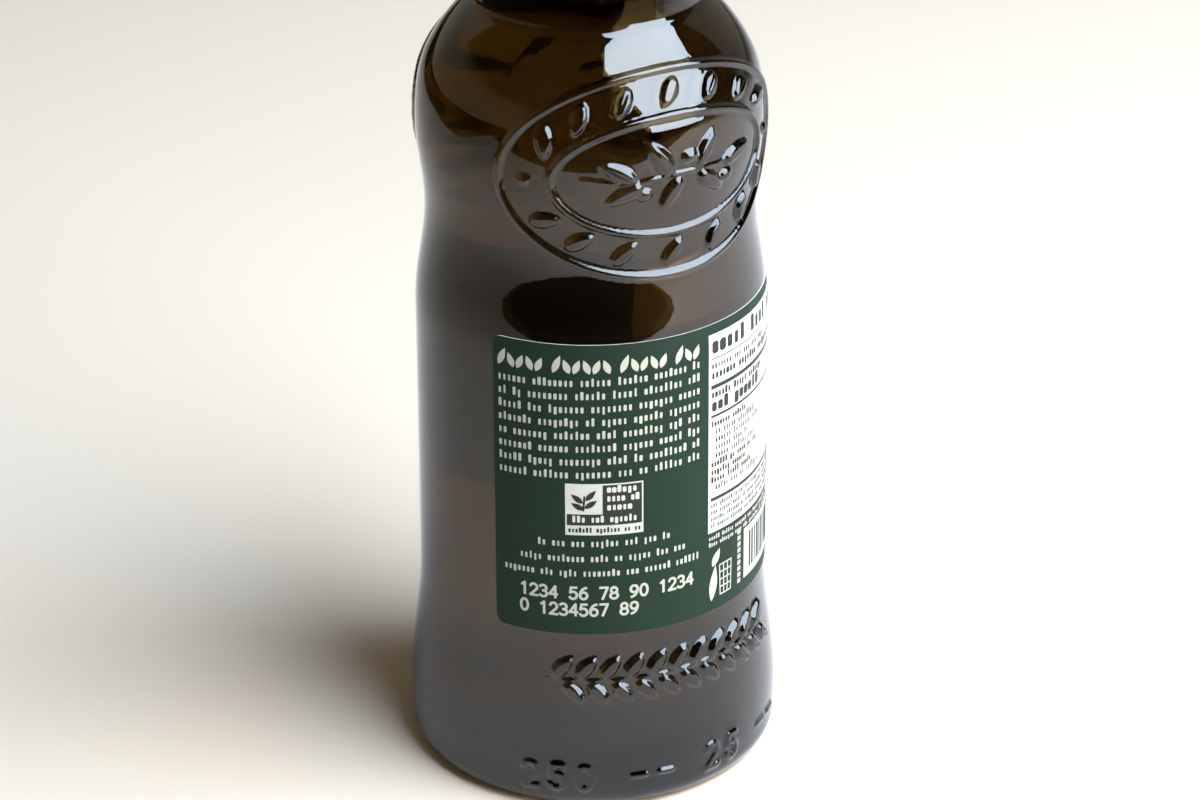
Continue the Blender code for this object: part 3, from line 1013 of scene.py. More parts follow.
class Ink:
    """Flat print on a label: thin closed shapes that follow the curved paper."""

    def __init__(self, sheet: "Sheet", level: float) -> None:
        """Starts with no shapes.

        Args:
            sheet: The label that is printed.
            level: Height of the ink's surface over the paper.
        """
        self.sheet = sheet
        self.level = level
        self.points: list[Array] = []
        self.faces: list[Array] = []
        self.count = 0

    def _closed(self, grid: Array) -> None:
        """Adds a thin closed box over a grid of flat (x, z) points, n by m by 2."""
        x, z = grid.reshape(-1, 2).T
        top = self.sheet.point(x, z, self.level)
        under = self.sheet.point(x, z, self.level - self.sheet.ink_depth)
        self.points.append(np.vstack((top, under)))
        self.faces.append(box_faces(*grid.shape[:2]) + self.count)
        self.count += 2 * len(x)

    def bar(self, x0: float, x1: float, z0: float, z1: float) -> None:
        """Adds an upright rectangle, in mm."""
        columns = max(2, math.ceil((x1 - x0) / self.sheet.facet) + 1)
        rows = max(2, math.ceil((z1 - z0) / self.sheet.facet) + 1)
        x, z = np.meshgrid(np.linspace(x0, x1, columns), np.linspace(z0, z1, rows))
        self._closed(np.stack((x, z), axis=-1))

    def frame(self, x0: float, x1: float, z0: float, z1: float, width: float) -> None:
        """Adds a rectangle's outline of a width, in mm."""
        self.bar(x0, x1, z0, z0 + width)
        self.bar(x0, x1, z1 - width, z1)
        self.bar(x0, x0 + width, z0 + width, z1 - width)
        self.bar(x1 - width, x1, z0 + width, z1 - width)

    def leaf(self, x: float, z: float, heading: float, length: float, width: float) -> None:
        """Adds a pointed leaf, its middle at (x, z), in mm and degrees."""
        t = np.linspace(0.0, 1.0, 9)[:, None]
        half = leaf_half(t, width) * np.array((-1.0, 1.0)) + 0.01 * (t - 0.5) ** 2
        along = (t - 0.5) * length
        turn = math.radians(heading)
        grid_x = x + along * math.cos(turn) - half * math.sin(turn)
        grid_z = z + along * math.sin(turn) + half * math.cos(turn)
        self._closed(np.stack((grid_x, grid_z), axis=-1)[:, ::-1])

    def disc(self, x: float, z: float, across: float, high: float) -> None:
        """Adds an ellipse, in mm."""
        t = np.linspace(0.02, 0.98, 9)[:, None]
        half = high / 2 * np.sqrt(1 - (2 * t - 1) ** 2) * np.array((-1.0, 1.0))
        grid_x = np.broadcast_to(x + (t - 0.5) * across, half.shape)
        self._closed(np.stack((grid_x, z + half), axis=-1)[:, ::-1])

    def stroke(self, start: Array, end: Array, width: float) -> None:
        """Adds a straight stroke between two flat points, in mm."""
        along = (end - start) / np.linalg.norm(end - start)
        side = np.array((-along[1], along[0])) * width / 2
        start, end = start - along * width / 3, end + along * width / 3
        self._closed(np.array(((start - side, end - side), (start + side, end + side))))

    def numbers(self, text: str, x: float, z: float, size: float, width: float) -> None:
        """Adds plain numerals from a lower left corner on, in mm."""
        for index, sign in enumerate(text):
            for path in numeral(sign):
                placed = path * size + (x + index * self.sheet.numeral_pitch * size, z)
                for start, end in zip(placed[:-1], placed[1:]):
                    self.stroke(start, end, width)

    def bead(self, x: float, z0: float, z1: float, wide: float) -> None:
        """Adds an upright block with cut corners and its middle at x, in mm."""
        cut = 0.24
        across = np.array((-0.5, cut - 0.5, 0.5 - cut, 0.5)) * wide + x
        trim = np.array((cut, 0.0, 0.0, cut)) * wide
        low, high = np.column_stack((across, z0 + trim)), np.column_stack((across, z1 - trim))
        self._closed(np.stack((low, high)))

    def words(self, x0: float, x1: float, z: float, size: float, seed: int,
              weight: float = 0.5) -> None:
        """Adds a line of word-like groups of small blocks that reaches from x0 to x1, in mm.

        Args:
            x0: The line's left end.
            x1: Its right end.
            z: Its foot.
            size: The height of a low block.
            seed: The seed of the line's random draw.
            weight: The share of the pitch that a block fills.
        """
        draw = np.random.default_rng(seed)
        tall_share, tall_by, low_share, low_by = 0.2, 1.36, 0.06, 0.3
        slots = max(2, int((x1 - x0) / (self.sheet.word_pitch * size)))
        pitch = (x1 - x0) / slots
        gap_at = int(draw.integers(2, 8))
        for slot in range(slots):
            if slot == gap_at and slot < slots - 2:
                gap_at = slot + 1 + int(draw.integers(2, 9))
                continue
            wide = pitch * weight * draw.uniform(0.75, 1.25)
            kind = draw.random()
            top = size * (tall_by if kind < tall_share else 1.0)
            foot = -low_by * size if kind > 1 - low_share else 0.0
            self.bead(x0 + (slot + 0.5) * pitch, z + foot, z + top, wide)

    def build(self, name: str, finish: PaperFinish) -> bpy.types.Object:
        """Makes the print one piece.

        Args:
            name: The piece's name.
            finish: The ink's finish.

        Returns:
            The piece.
        """
        faces = np.vstack(self.faces)
        made = dress(name, np.vstack(self.points), faces.tolist(), finish.make(), sharp=30.0)
        return made


@dataclass
class Sheet:
    """A label: a thin sheet with rounded corners that is stuck on the body.

    Flat coordinates on it are in mm: x runs right from its left edge along the wall, and z is
    the height over the surface that the bottle stands on.
    """

    wall: Wall
    piece: Piece
    start: float
    end: float
    low: float
    high: float
    corner: float = 1.5 * MM
    inner_lift: float = -0.05 * MM
    outer_lift: float = 0.14 * MM
    ink_depth: float = 0.04 * MM
    skew: float = 0.0
    facet: float = 1.4
    word_pitch: float = 0.8
    numeral_pitch: float = 0.78
    column_step: float = 1.2
    rows: int = 28

    @property
    def girth(self) -> float:
        """The radius that flat lengths are measured at."""
        return float(self.wall.radius_at((self.low + self.high) / 2))

    @property
    def width(self) -> float:
        """The sheet's width in mm."""
        return math.radians(self.end - self.start) * self.girth / MM

    def point(self, x: Array, z: Array, level: float) -> Array:
        """Points on the sheet.

        Args:
            x: Flat lengths from the left edge, in mm.
            z: Heights, in mm.
            level: The height over the paper's surface.

        Returns:
            The points, n by 3.
        """
        angle = self.start + np.degrees(x * MM / self.girth)
        height = (z + self.skew * (x - self.width / 4)) * MM
        lift = self.outer_lift + level
        return self.wall.place(angle, self.wall.rise_at(height), lift)

    def build(self, face: PaperFinish, core: PaperFinish) -> bpy.types.Object:
        """Makes the paper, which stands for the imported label.

        Args:
            face: The finish of the printed side.
            core: The finish of the cut edges and the back.

        Returns:
            The piece.
        """
        corner = math.degrees(self.corner / self.girth)
        near = corner * (1 - np.cos(np.radians(np.linspace(0.0, 90.0, 9)[:-1])))
        start, end = self.start + corner, self.end - corner
        middle = np.append(even(start, end, self.column_step), end)
        angles = np.concatenate((self.start + near, middle, self.end - near[::-1]))
        reach = np.clip(corner - np.minimum(angles - self.start, self.end - angles), 0.0, corner)
        inset = self.corner * (1 - np.sqrt(1 - (reach / corner) ** 2))
        share = np.linspace(0.0, 1.0, self.rows)[:, None]
        height = (self.low + inset) * (1 - share) + (self.high - inset) * share
        rise = self.wall.rise_at(height)
        rows, columns = height.shape
        front = self.wall.place(angles[None, :], rise, self.outer_lift).reshape(-1, 3)
        back = self.wall.place(angles[None, :], rise, self.inner_lift).reshape(-1, 3)
        faces = box_faces(rows, columns)
        points = np.vstack((front, back))
        made = dress(f"{self.piece.value}_paper", points, faces.tolist(), face.make(), sharp=30.0)
        made.data.materials.append(core.make())
        printed = np.arange(len(faces)) < (rows - 1) * (columns - 1)
        slots = np.where(printed, 0, 1).astype(np.int32)
        made.data.polygons.foreach_set("material_index", slots)
        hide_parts(self.piece.value)
        return made


# Lines of words on the wrap label, in mm: left end, right end, foot, size, seed, share filled.
CENTRED_LINES = ((7.4, 29.4, 49.2, 0.95, 30), (4.4, 32.2, 46.4, 0.95, 31),
                 (1.6, 34.9, 43.7, 0.95, 32))
TABLE_LINES = (
    (37.3, 61.75, 80.0, 2.1, 70, 0.68), (37.3, 53.75, 77.3, 0.85, 71, 0.45),
    (37.3, 62.75, 75.5, 1.05, 72, 0.66), (37.3, 52.75, 72.1, 0.95, 73, 0.62),
    (37.3, 51.25, 69.7, 1.6, 74, 0.7), (64.05, 70.05, 69.7, 1.6, 75, 0.7),
)
# Rules across the table: lower and upper edge.
TABLE_RULES = ((79.0, 79.15), (73.7, 74.4), (68.6, 69.0), (53.4, 54.0))
FOOT_LINES = ((36.9, 66.0, 46.2, 0.62, 140, 0.6), (36.9, 58.0, 45.0, 0.62, 141, 0.6))
# Leaves (x, z, heading, length, width): in the seal and over the basket.
SEAL_LEAVES = ((14.0, 58.0, 140.0, 2.5, 0.95), (16.2, 58.6, 48.0, 2.5, 0.95),
               (14.1, 56.6, 150.0, 2.5, 0.95), (16.2, 57.0, 35.0, 2.5, 0.95))
BASKET_LEAVES = ((38.0, 38.0, 82.0, 6.6, 1.7), (38.6, 42.6, 60.0, 3.4, 1.5))


@dataclass
class InfoLabel:
    """The wrap label: leaves for a heading, lines of words, a seal and a table of rows."""

    wall: Wall
    span: tuple[float, float, float, float] = (-32.4, 113.0, 33.0 * MM, 85.1 * MM)
    # All below is in mm on the flat label.
    text_left: float = 0.8
    text_right: float = 35.0
    line_top: float = 78.15
    line_pitch: float = 2.33
    line_count: int = 8
    line_size: float = 1.05
    line_climb: float = 0.9
    centred_rise: float = 0.006
    heading_foot: float = 80.1
    heading_groups: tuple[int, ...] = (5, 6, 5, 3)
    heading_heights: tuple[float, float] = (3.3, 2.6)
    heading_leans: tuple[float, float] = (68.0, 112.0)
    heading_gap: float = 0.8
    heading_width: float = 1.15
    seal: tuple[float, float, float, float] = (12.1, 24.7, 51.4, 60.7)
    seal_split: float = 18.1
    seal_band: tuple[float, float] = (53.2, 55.2)
    seal_edge: float = 0.25
    panel: tuple[float, float, float, float] = (36.75, 70.6, 47.6, 83.4)
    panel_inset: float = 0.55
    row_top: float = 66.9
    row_pitch: float = 1.45
    row_count: int = 9
    bold_rows: tuple[int, ...] = (0, 5, 6, 7)
    bars: tuple[float, float, float, float] = (46.2, 70.6, 35.3, 44.6)

    def build(self, green: PaperFinish, core: PaperFinish, cream: PaperFinish,
              white: PaperFinish, dark: PaperFinish) -> list[bpy.types.Object]:
        """Makes the paper and its print.

        Args:
            green: The printed ground.
            core: The paper's cut edge.
            cream: The light ink.
            white: The table's ground.
            dark: The dark ink.

        Returns:
            The pieces.
        """
        sheet = Sheet(self.wall, Piece.INFO, *self.span)
        cream_ink, white_ink = Ink(sheet, 0.02 * MM), Ink(sheet, 0.02 * MM)
        dark_ink, over_ink = Ink(sheet, 0.045 * MM), Ink(sheet, 0.07 * MM)
        self._heading(cream_ink)
        self._body(cream_ink)
        self._seal(white_ink, dark_ink, over_ink)
        cream_ink.numbers("1234 56 78 90 1234", 4.5, 39.6, 2.1, 0.42)
        cream_ink.numbers("0 1234567 89", 4.5, 36.5, 2.1, 0.42)
        self._table(white_ink, dark_ink)
        for line in FOOT_LINES:
            cream_ink.words(*line)
        self._basket(cream_ink)
        self._bars(white_ink, dark_ink)
        return [
            sheet.build(green, core),
            cream_ink.build("info_print_cream", cream),
            white_ink.build("info_print_white", white),
            dark_ink.build("info_print_dark", dark),
            over_ink.build("info_print_over", white),
        ]

    def _heading(self, ink: Ink) -> None:
        """A row of upright leaves in four groups, where a heading stands."""
        groups = self.heading_groups
        slots = sum(groups) + self.heading_gap * (len(groups) - 1)
        pitch = (self.text_right - self.text_left) / slots
        x = self.text_left + pitch / 2
        for group in groups:
            for place in range(group):
                height = self.heading_heights[min(place, 1)]
                z = self.heading_foot + height / 2
                ink.leaf(x, z, self.heading_leans[place % 2], height, self.heading_width)
                x += pitch
            x += self.heading_gap * pitch

    def _body(self, ink: Ink) -> None:
        """Lines of words, and three shorter centred ones lower down."""
        rise = self.line_climb / (self.text_right - self.text_left)
        for line in range(self.line_count):
            foot = self.line_top - line * self.line_pitch - self.line_size / 2
            ends = (self.text_left, self.text_right)
            self._sloping(ink, (*ends, foot, self.line_size, 10 + line), rise)
        for line in CENTRED_LINES:
            self._sloping(ink, line, self.centred_rise)

    @staticmethod
    def _sloping(ink: Ink, line: tuple[float, float, float, float, int], rise: float) -> None:
        """A line of words (ends, foot, size, seed) that climbs by rise mm a mm."""
        x0, x1, z, size, seed = line
        sheet = ink.sheet
        sheet.skew = rise
        ink.words(x0, x1, z + rise * (sheet.width / 4 - x0), size, seed)
        sheet.skew = 0.0

    def _seal(self, white: Ink, dark: Ink, over: Ink) -> None:
        """A box, half light with a sprig and half dark with blocks, over a dark band."""
        x0, x1, z0, z1 = self.seal
        split, edge = self.seal_split, self.seal_edge
        low, high = self.seal_band
        white.bar(x0, x1, z0, z1)
        dark.bar(split, x1 - edge, high, z1 - edge)
        dark.bar(x0 + edge, x1 - edge, low, high)
        dark.stroke(np.array((x0 + 2.9, 55.9)), np.array((x0 + 3.1, 58.4)), 0.35)
        for leaf in SEAL_LEAVES:
            dark.leaf(*leaf)
        for row, width in enumerate((5.0, 5.4, 4.2)):
            over.words(split + 0.6, split + 0.6 + width, 59.1 - row * 1.6, 0.95, 50 + row, 0.7)
        over.words(x0 + 1.0, x1 - 1.0, 53.75, 0.9, 54, 0.6)
        dark.words(x0 + 0.4, x1 - 0.4, 51.9, 0.7, 55, 0.6)

    def _table(self, white: Ink, dark: Ink) -> None:
        """A light panel with a heading, rules, rows with figures and four closing lines."""
        x0, x1, z0, z1 = self.panel
        white.bar(x0, x1, z0, z1)
        left, right = x0 + self.panel_inset, x1 - self.panel_inset
        for line in TABLE_LINES:
            dark.words(*line)
        for low, high in TABLE_RULES:
            dark.bar(left, right, low, high)
        for row in range(self.row_count):
            z = self.row_top - row * self.row_pitch
            indent, bold = (0.0, 0.62) if row in self.bold_rows else (0.9, 0.42)
            start = left + indent
            dark.words(start, start + 9.0 + 2.0 * (row % 3), z, 0.78, 80 + row, bold)
            dark.words(right - 2.6, right, z, 0.78, 100 + row, bold)
            dark.bar(left, right, z - 0.42, z - 0.34)
        for row in range(4):
            end = right - 1.0 - 3.0 * (row % 2)
            dark.words(left, end, 52.2 - row * 1.25, 0.6, 120 + row, 0.5)

    @staticmethod
    def _basket(ink: Ink) -> None:
        """A basket of crossed strokes with leaves over it, and an upright strip of blocks."""
        left, foot, wide, high, top = 39.6, 35.3, 2.6, 5.6, 40.9
        for column in range(4):
            x = left + column * wide / 3
            ink.stroke(np.array((x, foot)), np.array((x + 0.12 * (column - 1.5), top)), 0.22)
        for row in range(5):
            z = foot + row * high / 4
            ink.bar(left - 0.1, left + wide + 0.1, z - 0.12, z + 0.12)
        for leaf in BASKET_LEAVES:
            ink.leaf(*leaf)
        for row in range(9):
            z = 35.2 + row * 1.15
            ink.bar(44.2, 45.1, z, z + 0.8)

    def _bars(self, white: Ink, dark: Ink) -> None:
        """A light field with upright bars, their widths and gaps drawn at random."""
        x0, x1, z0, z1 = self.bars
        white.bar(x0, x1, z0, z1)
        draw = np.random.default_rng(7)
        x = x0 + 1.8
        while x < x1 - 1.6:
            wide = float(draw.choice((0.25, 0.4, 0.6)))
            dark.bar(x, x + wide, z0 + 1.3, z1 - 1.2)
            x += wide + float(draw.choice((0.25, 0.4, 0.55)))


@dataclass
class FrontLabel:
    """The label on the other side: a light frame, an olive sprig and a few lines."""

    wall: Wall
    span: tuple[float, float, float, float] = (175.2, 245.2, 40.0 * MM, 85.1 * MM)
    # All below is in mm on the flat label; a line is its width, foot and size.
    margin: float = 1.6
    line: float = 0.35
    sprig_height: float = 69.0
    sprig_reach: float = 10.5
    leaf: tuple[float, float] = (5.0, 1.5)
    olive: tuple[float, float] = (1.9, 2.5)
    olives: tuple = ((-3.6, -5.6), (3.4, -5.2), (0.2, -6.6))
    lines: tuple = ((22.0, 57.6, 1.9), (15.0, 53.6, 1.2), (19.0, 50.8, 1.2))

    def build(self, green: PaperFinish, core: PaperFinish, cream: PaperFinish
              ) -> list[bpy.types.Object]:
        """Makes the paper and its print.

        Args:
            green: The printed ground.
            core: The paper's cut edge.
            cream: The light ink.

        Returns:
            The pieces.
        """
        sheet = Sheet(self.wall, Piece.FRONT, *self.span)
        ink = Ink(sheet, 0.02 * MM)
        low, high, wide = self.span[2] / MM, self.span[3] / MM, sheet.width
        frames = ((self.margin, self.line), (self.margin + 2 * self.line, self.line / 2))
        for inset, line in frames:
            ink.frame(inset, wide - inset, low + inset, high - inset, line)
        self._sprig(ink, wide / 2, self.sprig_height)
        for width, z, size in self.lines:
            ink.words((wide - width) / 2, (wide + width) / 2, z, size, int(z), 0.66)
        ink.numbers("250", wide / 2 - 2.7, 44.4, 2.4, 0.4)
        return [sheet.build(green, core), ink.build("front_print_cream", cream)]

    def _sprig(self, ink: Ink, x: float, z: float) -> None:
        """A sprig: a stem of short strokes along a parabola, leaves in pairs and olives."""
        t = np.linspace(-1.0, 1.0, 13)
        stem = np.column_stack((x + self.sprig_reach * t, z + 2.2 * t**2 - 3.0 + 1.4 * t))
        for start, end in zip(stem[:-1], stem[1:]):
            ink.stroke(start, end, self.line)
        reach = 2.9
        for index in range(1, 12, 2):
            for side in (1, -1):
                heading = 10.0 * (index - 6) / 6 + side * 52.0
                turn = math.radians(heading)
                leaf_x, leaf_z = stem[index] + reach * np.array((math.cos(turn), math.sin(turn)))
                ink.leaf(leaf_x, leaf_z, heading, *self.leaf)
        for olive_x, olive_z in self.olives:
            ink.disc(x + olive_x, z + olive_z, *self.olive)


@dataclass
class ScrewCap:
    """The cap: a lacquered shell with rolled grooves, a ridged grip and a torn-off band."""

    wall: Wall
    radius: float = 15.75 * MM
    height: float = 24.0 * MM
    wall_thickness: float = 0.8 * MM
    lid: float = 1.3 * MM
    gap: float = 0.3 * MM
    edge: float = 1.3 * MM
    groove_half: float = 0.45 * MM
    groove_depth: float = 0.3 * MM
    groove_rises: tuple[float, ...] = (5.2 * MM, 16.2 * MM, 21.4 * MM)
    grip: tuple[float, float] = (16.9 * MM, 20.7 * MM)
    grip_ridges: int = 84
    grip_depth: float = 0.16 * MM
    grip_ease: float = 0.6 * MM
    foot_tuck: float = 0.1 * MM
    bridges: int = 12
    bridge_share: float = 0.82
    bridge_depth: float = 0.15
    lid_step: float = 0.12 * MM
    inner_foot: float = 6.0 * MM
    columns: int = 336

    def build(self, finish: LacquerFinish) -> bpy.types.Object:
        """Makes the cap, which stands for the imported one.

        Args:
            finish: The cap's finish.

        Returns:
            The piece.
        """
        top = self.wall.rim_height + self.gap + self.lid
        foot, ceiling, lid = top - self.height, top - self.lid, top - self.lid_step
        angles = np.arange(self.columns) * 360.0 / self.columns
        rises = self._rises()[:, None]
        radius = self._radius(rises, angles[None, :])
        turn = np.radians(angles)[None, :]
        height = np.broadcast_to(foot + rises, radius.shape)
        side = np.stack((radius * np.sin(turn), -radius * np.cos(turn), height), axis=-1)
        curl = np.radians(np.linspace(0.0, 90.0, 9)[1:])
        rim_r = self.radius - self.edge * (1 - np.cos(curl))
        rim_z = top - self.edge * (1 - np.sin(curl))
        lid_r = np.array((0.86, 0.84, 0.5, 0.2)) * self.radius
        head = np.column_stack((np.r_[rim_r, lid_r], np.r_[rim_z, top, lid, lid, lid]))
        bore = self.radius - self.wall_thickness
        under = np.array(((lid_r[-1], ceiling), (bore - 0.02 * MM, ceiling),
                          (bore, foot + self.inner_foot), (bore, foot)))
        grid = np.vstack((spun(under, angles), side.reshape(-1, 3), spun(head, angles)))
        points, faces = capped(grid, self.columns, ceiling, lid)
        made = dress("cap", points, faces, finish.make(), sharp=50.0)
        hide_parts(Piece.CAP.value)
        return made

    def _rises(self) -> Array:
        """Heights over the cap's foot of the side's rows, close together at its grooves."""
        end = self.height - self.edge
        near = np.concatenate(((-1.5, -1.2), np.linspace(-1.0, 1.0, 7), (1.2, 1.5)))
        grooves = np.add.outer(self.groove_rises, self.groove_half * near).ravel()
        ease = self.grip_ease * np.array((0.0, 0.5, 1.0))
        plain = np.array((0.0, 0.12 * MM, 0.5 * MM, end - 0.5 * MM, end))
        rows = np.concatenate((plain, grooves, self.grip[0] + ease, self.grip[1] - ease))
        return np.unique(np.round(rows, 7))

    def _radius(self, rises: Array, angles: Array) -> Array:
        """Radius of the side: grooves as cosine troughs, the lowest bridged, and a rippled grip.

        Args:
            rises: Heights over the foot, a column.
            angles: Angles in degrees, a row.

        Returns:
            The radii, rows by columns.
        """
        made = np.full(np.broadcast(rises, angles).shape, self.radius)
        made -= self.foot_tuck * (rises < self.foot_tuck / 2)
        for index, middle in enumerate(self.groove_rises):
            trough = self.groove_depth * soft_ridge(rises - middle, self.groove_half)
            if index == 0:
                bridge = np.cos(np.radians(angles) * self.bridges) > self.bridge_share
                trough = trough * np.where(bridge, self.bridge_depth, 1.0)
            made -= trough
        low, high = self.grip
        inside = np.clip(np.minimum(rises - low, high - rises) / self.grip_ease, 0.0, 1.0)
        ripple = (1 - np.cos(np.radians(angles) * self.grip_ridges)) / 2
        return made - self.grip_depth * inside * ripple


# Studio


@dataclass
class Studio:
    """A pale floor, a window-like light to the right and a dim room."""

    # The table's edges, which only reflections show, and how soft they are.
    table_front: float = -0.34
    table_turn: float = 0.05
    table_left: float = -0.435
    table_slant: float = 0.7
    table_soft: float = 0.004
    # The panes' corners are directions from the lights' centre: azimuth and elevation.
    light_centre: tuple[float, float, float] = (0.008, -0.02, 0.125)
    light_distance: float = 0.9
    light_corners: tuple = ((26.0, 71.0), (15.2, 55.5), (26.5, 42.0), (95.0, 27.0),
                            (96.0, 37.0), (104.0, 44.0), (117.0, 47.0), (82.0, 68.0),
                            (69.0, 73.0), (45.0, 73.5))
    low_corners: tuple = ((26.5, 42.0), (37.0, 17.0), (40.0, -1.5), (78.0, -3.5),
                          (80.0, 15.0), (95.0, 27.0))
    light_colour: Colour = (0.86, 1.03, 1.24)
    light_strength: float = 14.0
    low_colour: Colour = (1.12, 0.98, 0.80)
    low_share: float = 0.42
    floor_colour: Colour = (0.72, 0.64, 0.54)
    # Floor colour that only reflections see: a painted shadow on the left, where the bottle's
    # shadow falls, turning into painted light on the right between two x values.
    reflected_floor_painted_shadow: Colour = (0.54, 0.49, 0.42)
    reflected_floor_painted_light: Colour = (0.87, 0.83, 0.81)
    painted_shadow_to_light_from: float = -0.33
    painted_shadow_to_light_to: float = 0.1
    fade_from: float = 0.45
    fade_to: float = 1.6
    ambient: Colour = (0.17, 0.14, 0.10)
    pale: Colour = (0.965, 0.95, 0.92)
    room: Colour = (0.045, 0.036, 0.026)
    backdrop: Colour = (0.33, 0.32, 0.28)
    side_wall: Colour = (0.30, 0.26, 0.18)
    floor_half: float = 6.0

    def build(self) -> None:
        """Makes the floor, the light and the room."""
        window = self._pane("window", self.light_corners, 1.0, self.light_colour,
                            self.light_strength)
        mirrored = self._pane("window_low", self.low_corners, 1.0, self.light_colour,
                              self.light_strength)
        mirrored.visible_diffuse = False
        mirrored.visible_shadow = False
        shining = self._pane("window_low_light", self.low_corners, 1.02, self.low_colour,
                             self.light_strength * self.low_share)
        self._floor()
        self._room()

    def _floor(self) -> bpy.types.Object:
        """A large floor, as a table with two edges to all but the camera, which in reflections
        carries painted shadow on the left and painted light on the right.
        """
        half = self.floor_half
        mesh = bpy.data.meshes.new("floor")
        corners = [(-half, -half, 0.0), (half, -half, 0.0), (half, half, 0.0), (-half, half, 0.0)]
        mesh.from_pydata(corners, [], [(0, 1, 2, 3)])
        floor = add("floor", mesh)
        shade = new_shade("floor")
        place = shade.object_place()
        x, y, _ = shade.axes(place)
        seen = shade.node("ShaderNodeLightPath", output="Is Camera Ray")
        soft = self.table_soft
        front = shade.between(y + x * self.table_turn - self.table_front, -soft, soft)
        left = shade.between(x - self.table_left - (y & 0.0) * self.table_slant, -soft, soft)
        table = (front * left) | seen
        # Painted shadow to the left and painted light to the right, seen only in reflections of
        # the floor.
        across = shade.between(x, self.painted_shadow_to_light_from, self.painted_shadow_to_light_to)
        mirrored = shade.blend(across, self.reflected_floor_painted_shadow, self.reflected_floor_painted_light)
        paint = shade.blend(seen, mirrored, self.floor_colour)
        plain = shade.node("ShaderNodeBsdfDiffuse", None, {"Color": paint})
        dark = shade.node("ShaderNodeBsdfDiffuse", None, {"Color": (*self.room, 1.0)})
        glow = shade.node("ShaderNodeEmission", None, {"Color": (*self.pale, 1.0)})
        surface = shade.node("ShaderNodeMixShader", None, {0: table, 1: dark, 2: plain})
        distance = shade.node("ShaderNodeVectorMath", {"operation": "LENGTH"}, {0: place},
                              output="Value")
        far = shade.between(distance, self.fade_from, self.fade_to)
        shade.close(shade.node("ShaderNodeMixShader", None, {0: far * seen, 1: surface, 2: glow}))
        mesh.materials.append(shade.owner)
        return floor

    def _pane(self, name: str, corners: Sequence[tuple[float, float]], reach: float,
              colour: Colour, strength: float) -> bpy.types.Object:
        """A many-sided bright pane that the camera doesn't see.

        Args:
            name: The pane's name.
            corners: Its corners' directions, as azimuth and elevation in degrees.
            reach: Its distance, in shares of the lights' distance.
            colour: Its light's colour.
            strength: How strongly it shines.

        Returns:
            The pane.
        """
        azimuth, rise = np.radians(np.array(corners)).T
        along = np.stack((np.sin(azimuth) * np.cos(rise), -np.cos(azimuth) * np.cos(rise),
                          np.sin(rise)), axis=-1)
        points = np.array(self.light_centre) + self.light_distance * reach * along
        middle = points.mean(axis=0)
        count = len(points)
        faces = [(i, (i + 1) % count, count) for i in range(count)]
        mesh = bpy.data.meshes.new(name)
        mesh.from_pydata(np.vstack((points, middle)).tolist(), [], faces)
        pane = add(name, mesh)
        shade = new_shade(name)
        light = {"Color": (*colour, 1.0), "Strength": strength}
        shade.close(shade.node("ShaderNodeEmission", None, light))
        mesh.materials.append(shade.owner)
        pane.visible_camera = False
        return pane

    def _room(self) -> None:
        """Surroundings: pale to the camera, dim in reflections, with a backdrop behind.

        The backdrop and the wall beside it end at shares of a direction's level length.
        """
        world = bpy.data.worlds.new("room")
        bpy.context.scene.world = world
        shade = Shade(world)
        seen = shade.node("ShaderNodeLightPath", output="Is Camera Ray")
        scattered = shade.twin(seen, "Is Diffuse Ray")
        x, y, z = shade.axes(shade.node("ShaderNodeTexCoord", output="Generated"))
        level = (x * x + y * y + 1e-6) ** 0.5
        sideways, ahead, upwards = x / level, y / level, z / level
        behind = shade.between(ahead, 0.46, 0.51)
        low = shade.between(upwards, 1.0, 0.9)
        beside = shade.between(sideways, -0.6, -0.8) * shade.between(upwards, 0.55, 0.35)
        colour = shade.blend(behind * low, self.room, self.backdrop)
        colour = shade.blend(beside, colour, self.side_wall)
        colour = shade.blend(scattered, colour, self.ambient)
        colour = shade.blend(seen, colour, self.pale)
        shade.close(shade.node("ShaderNodeBackground", None, {"Color": colour}))


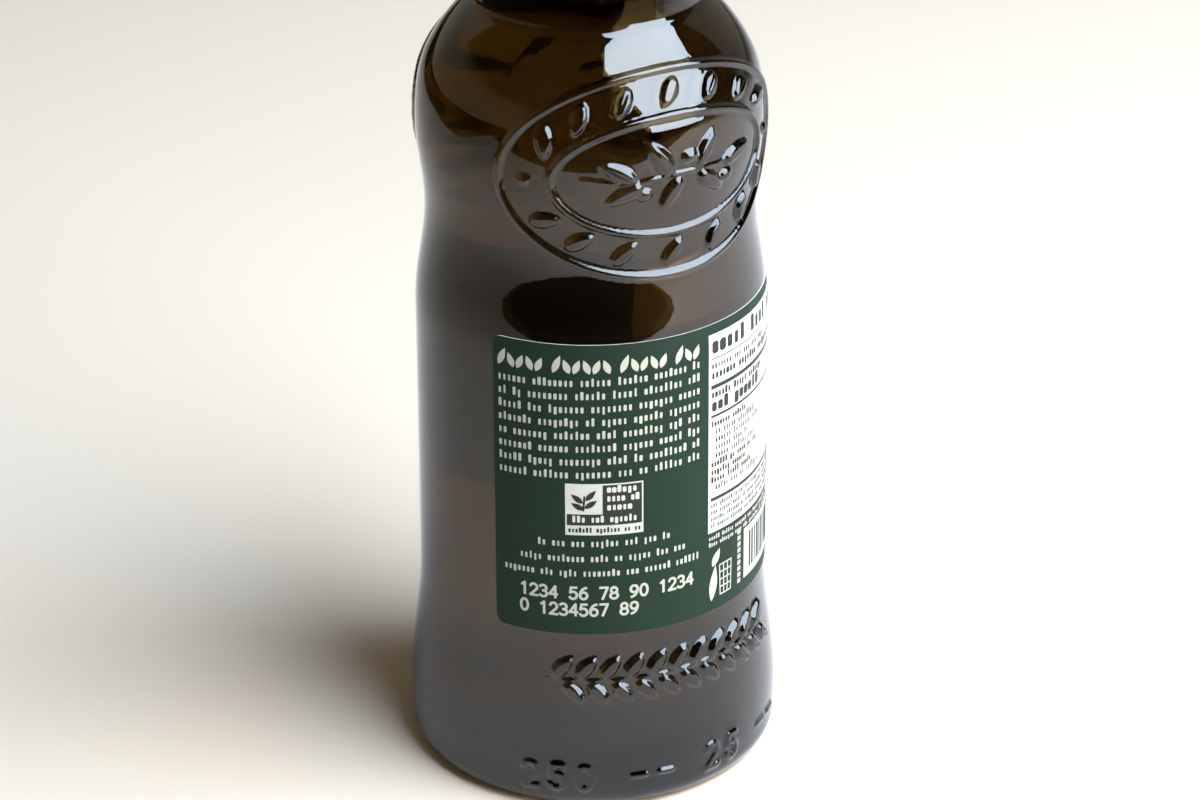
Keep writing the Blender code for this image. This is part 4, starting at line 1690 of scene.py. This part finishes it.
@dataclass
class Camera:
    """The photograph's view."""

    place: tuple[float, float, float] = (0.0, -0.5238, 0.3276)
    pitch: float = 26.98
    roll: float = 0.283
    yaw: float = 0.157
    focal_pixels: float = 3523.0
    image_width: float = 1200.0
    sensor: float = 36.0
    near: float = 0.01

    def build(self) -> None:
        """Makes the camera: its forward, right and down axes come from three angles."""
        pitch, roll, yaw = (math.radians(a) for a in (self.pitch, self.roll, self.yaw))
        forward = np.array((math.sin(yaw) * math.cos(pitch), math.cos(yaw) * math.cos(pitch),
                            -math.sin(pitch)))
        right = np.array((math.cos(yaw), -math.sin(yaw), 0.0))
        down = np.cross(forward, right)
        turned_right = math.cos(roll) * right + math.sin(roll) * down
        turned_down = -math.sin(roll) * right + math.cos(roll) * down
        data = bpy.data.cameras.new("camera")
        data.sensor_width = self.sensor
        data.lens = self.focal_pixels / self.image_width * self.sensor
        data.clip_start = self.near
        camera = add("camera", data)
        matrix = np.eye(4)
        matrix[:3, 0] = turned_right
        matrix[:3, 1] = -turned_down
        matrix[:3, 2] = -forward
        matrix[:3, 3] = self.place
        camera.matrix_world = matrix.T.tolist()
        bpy.context.scene.camera = camera


def main() -> None:
    """Builds every piece, the studio and the camera."""
    logging.basicConfig(level=logging.INFO, format="%(name)s: %(message)s")
    bpy.context.scene.view_settings.view_transform = "Standard"
    wall = Wall()
    green = PaperFinish("label_green", (0.010, 0.025, 0.015), gloss=0.1)
    core = PaperFinish("label_core", (0.80, 0.79, 0.73), roughness=0.8)
    cream = PaperFinish("ink_cream", (0.44, 0.445, 0.38), mottle=0.05)
    white = PaperFinish("ink_white", (0.52, 0.53, 0.48), mottle=0.03)
    dark = PaperFinish("ink_dark", (0.020, 0.026, 0.021), mottle=0.10)
    GlassBottle(wall).build(GlassFinish())
    OliveOil(wall).build(OilFinish())
    for piece in InfoLabel(wall).build(green, core, cream, white, dark):
        LOG.info("printed %s", piece.name)
    for piece in FrontLabel(wall).build(green, core, cream):
        LOG.info("printed %s", piece.name)
    ScrewCap(wall).build(LacquerFinish())
    Studio().build()
    Camera().build()


if __name__ == "__main__":
    main()
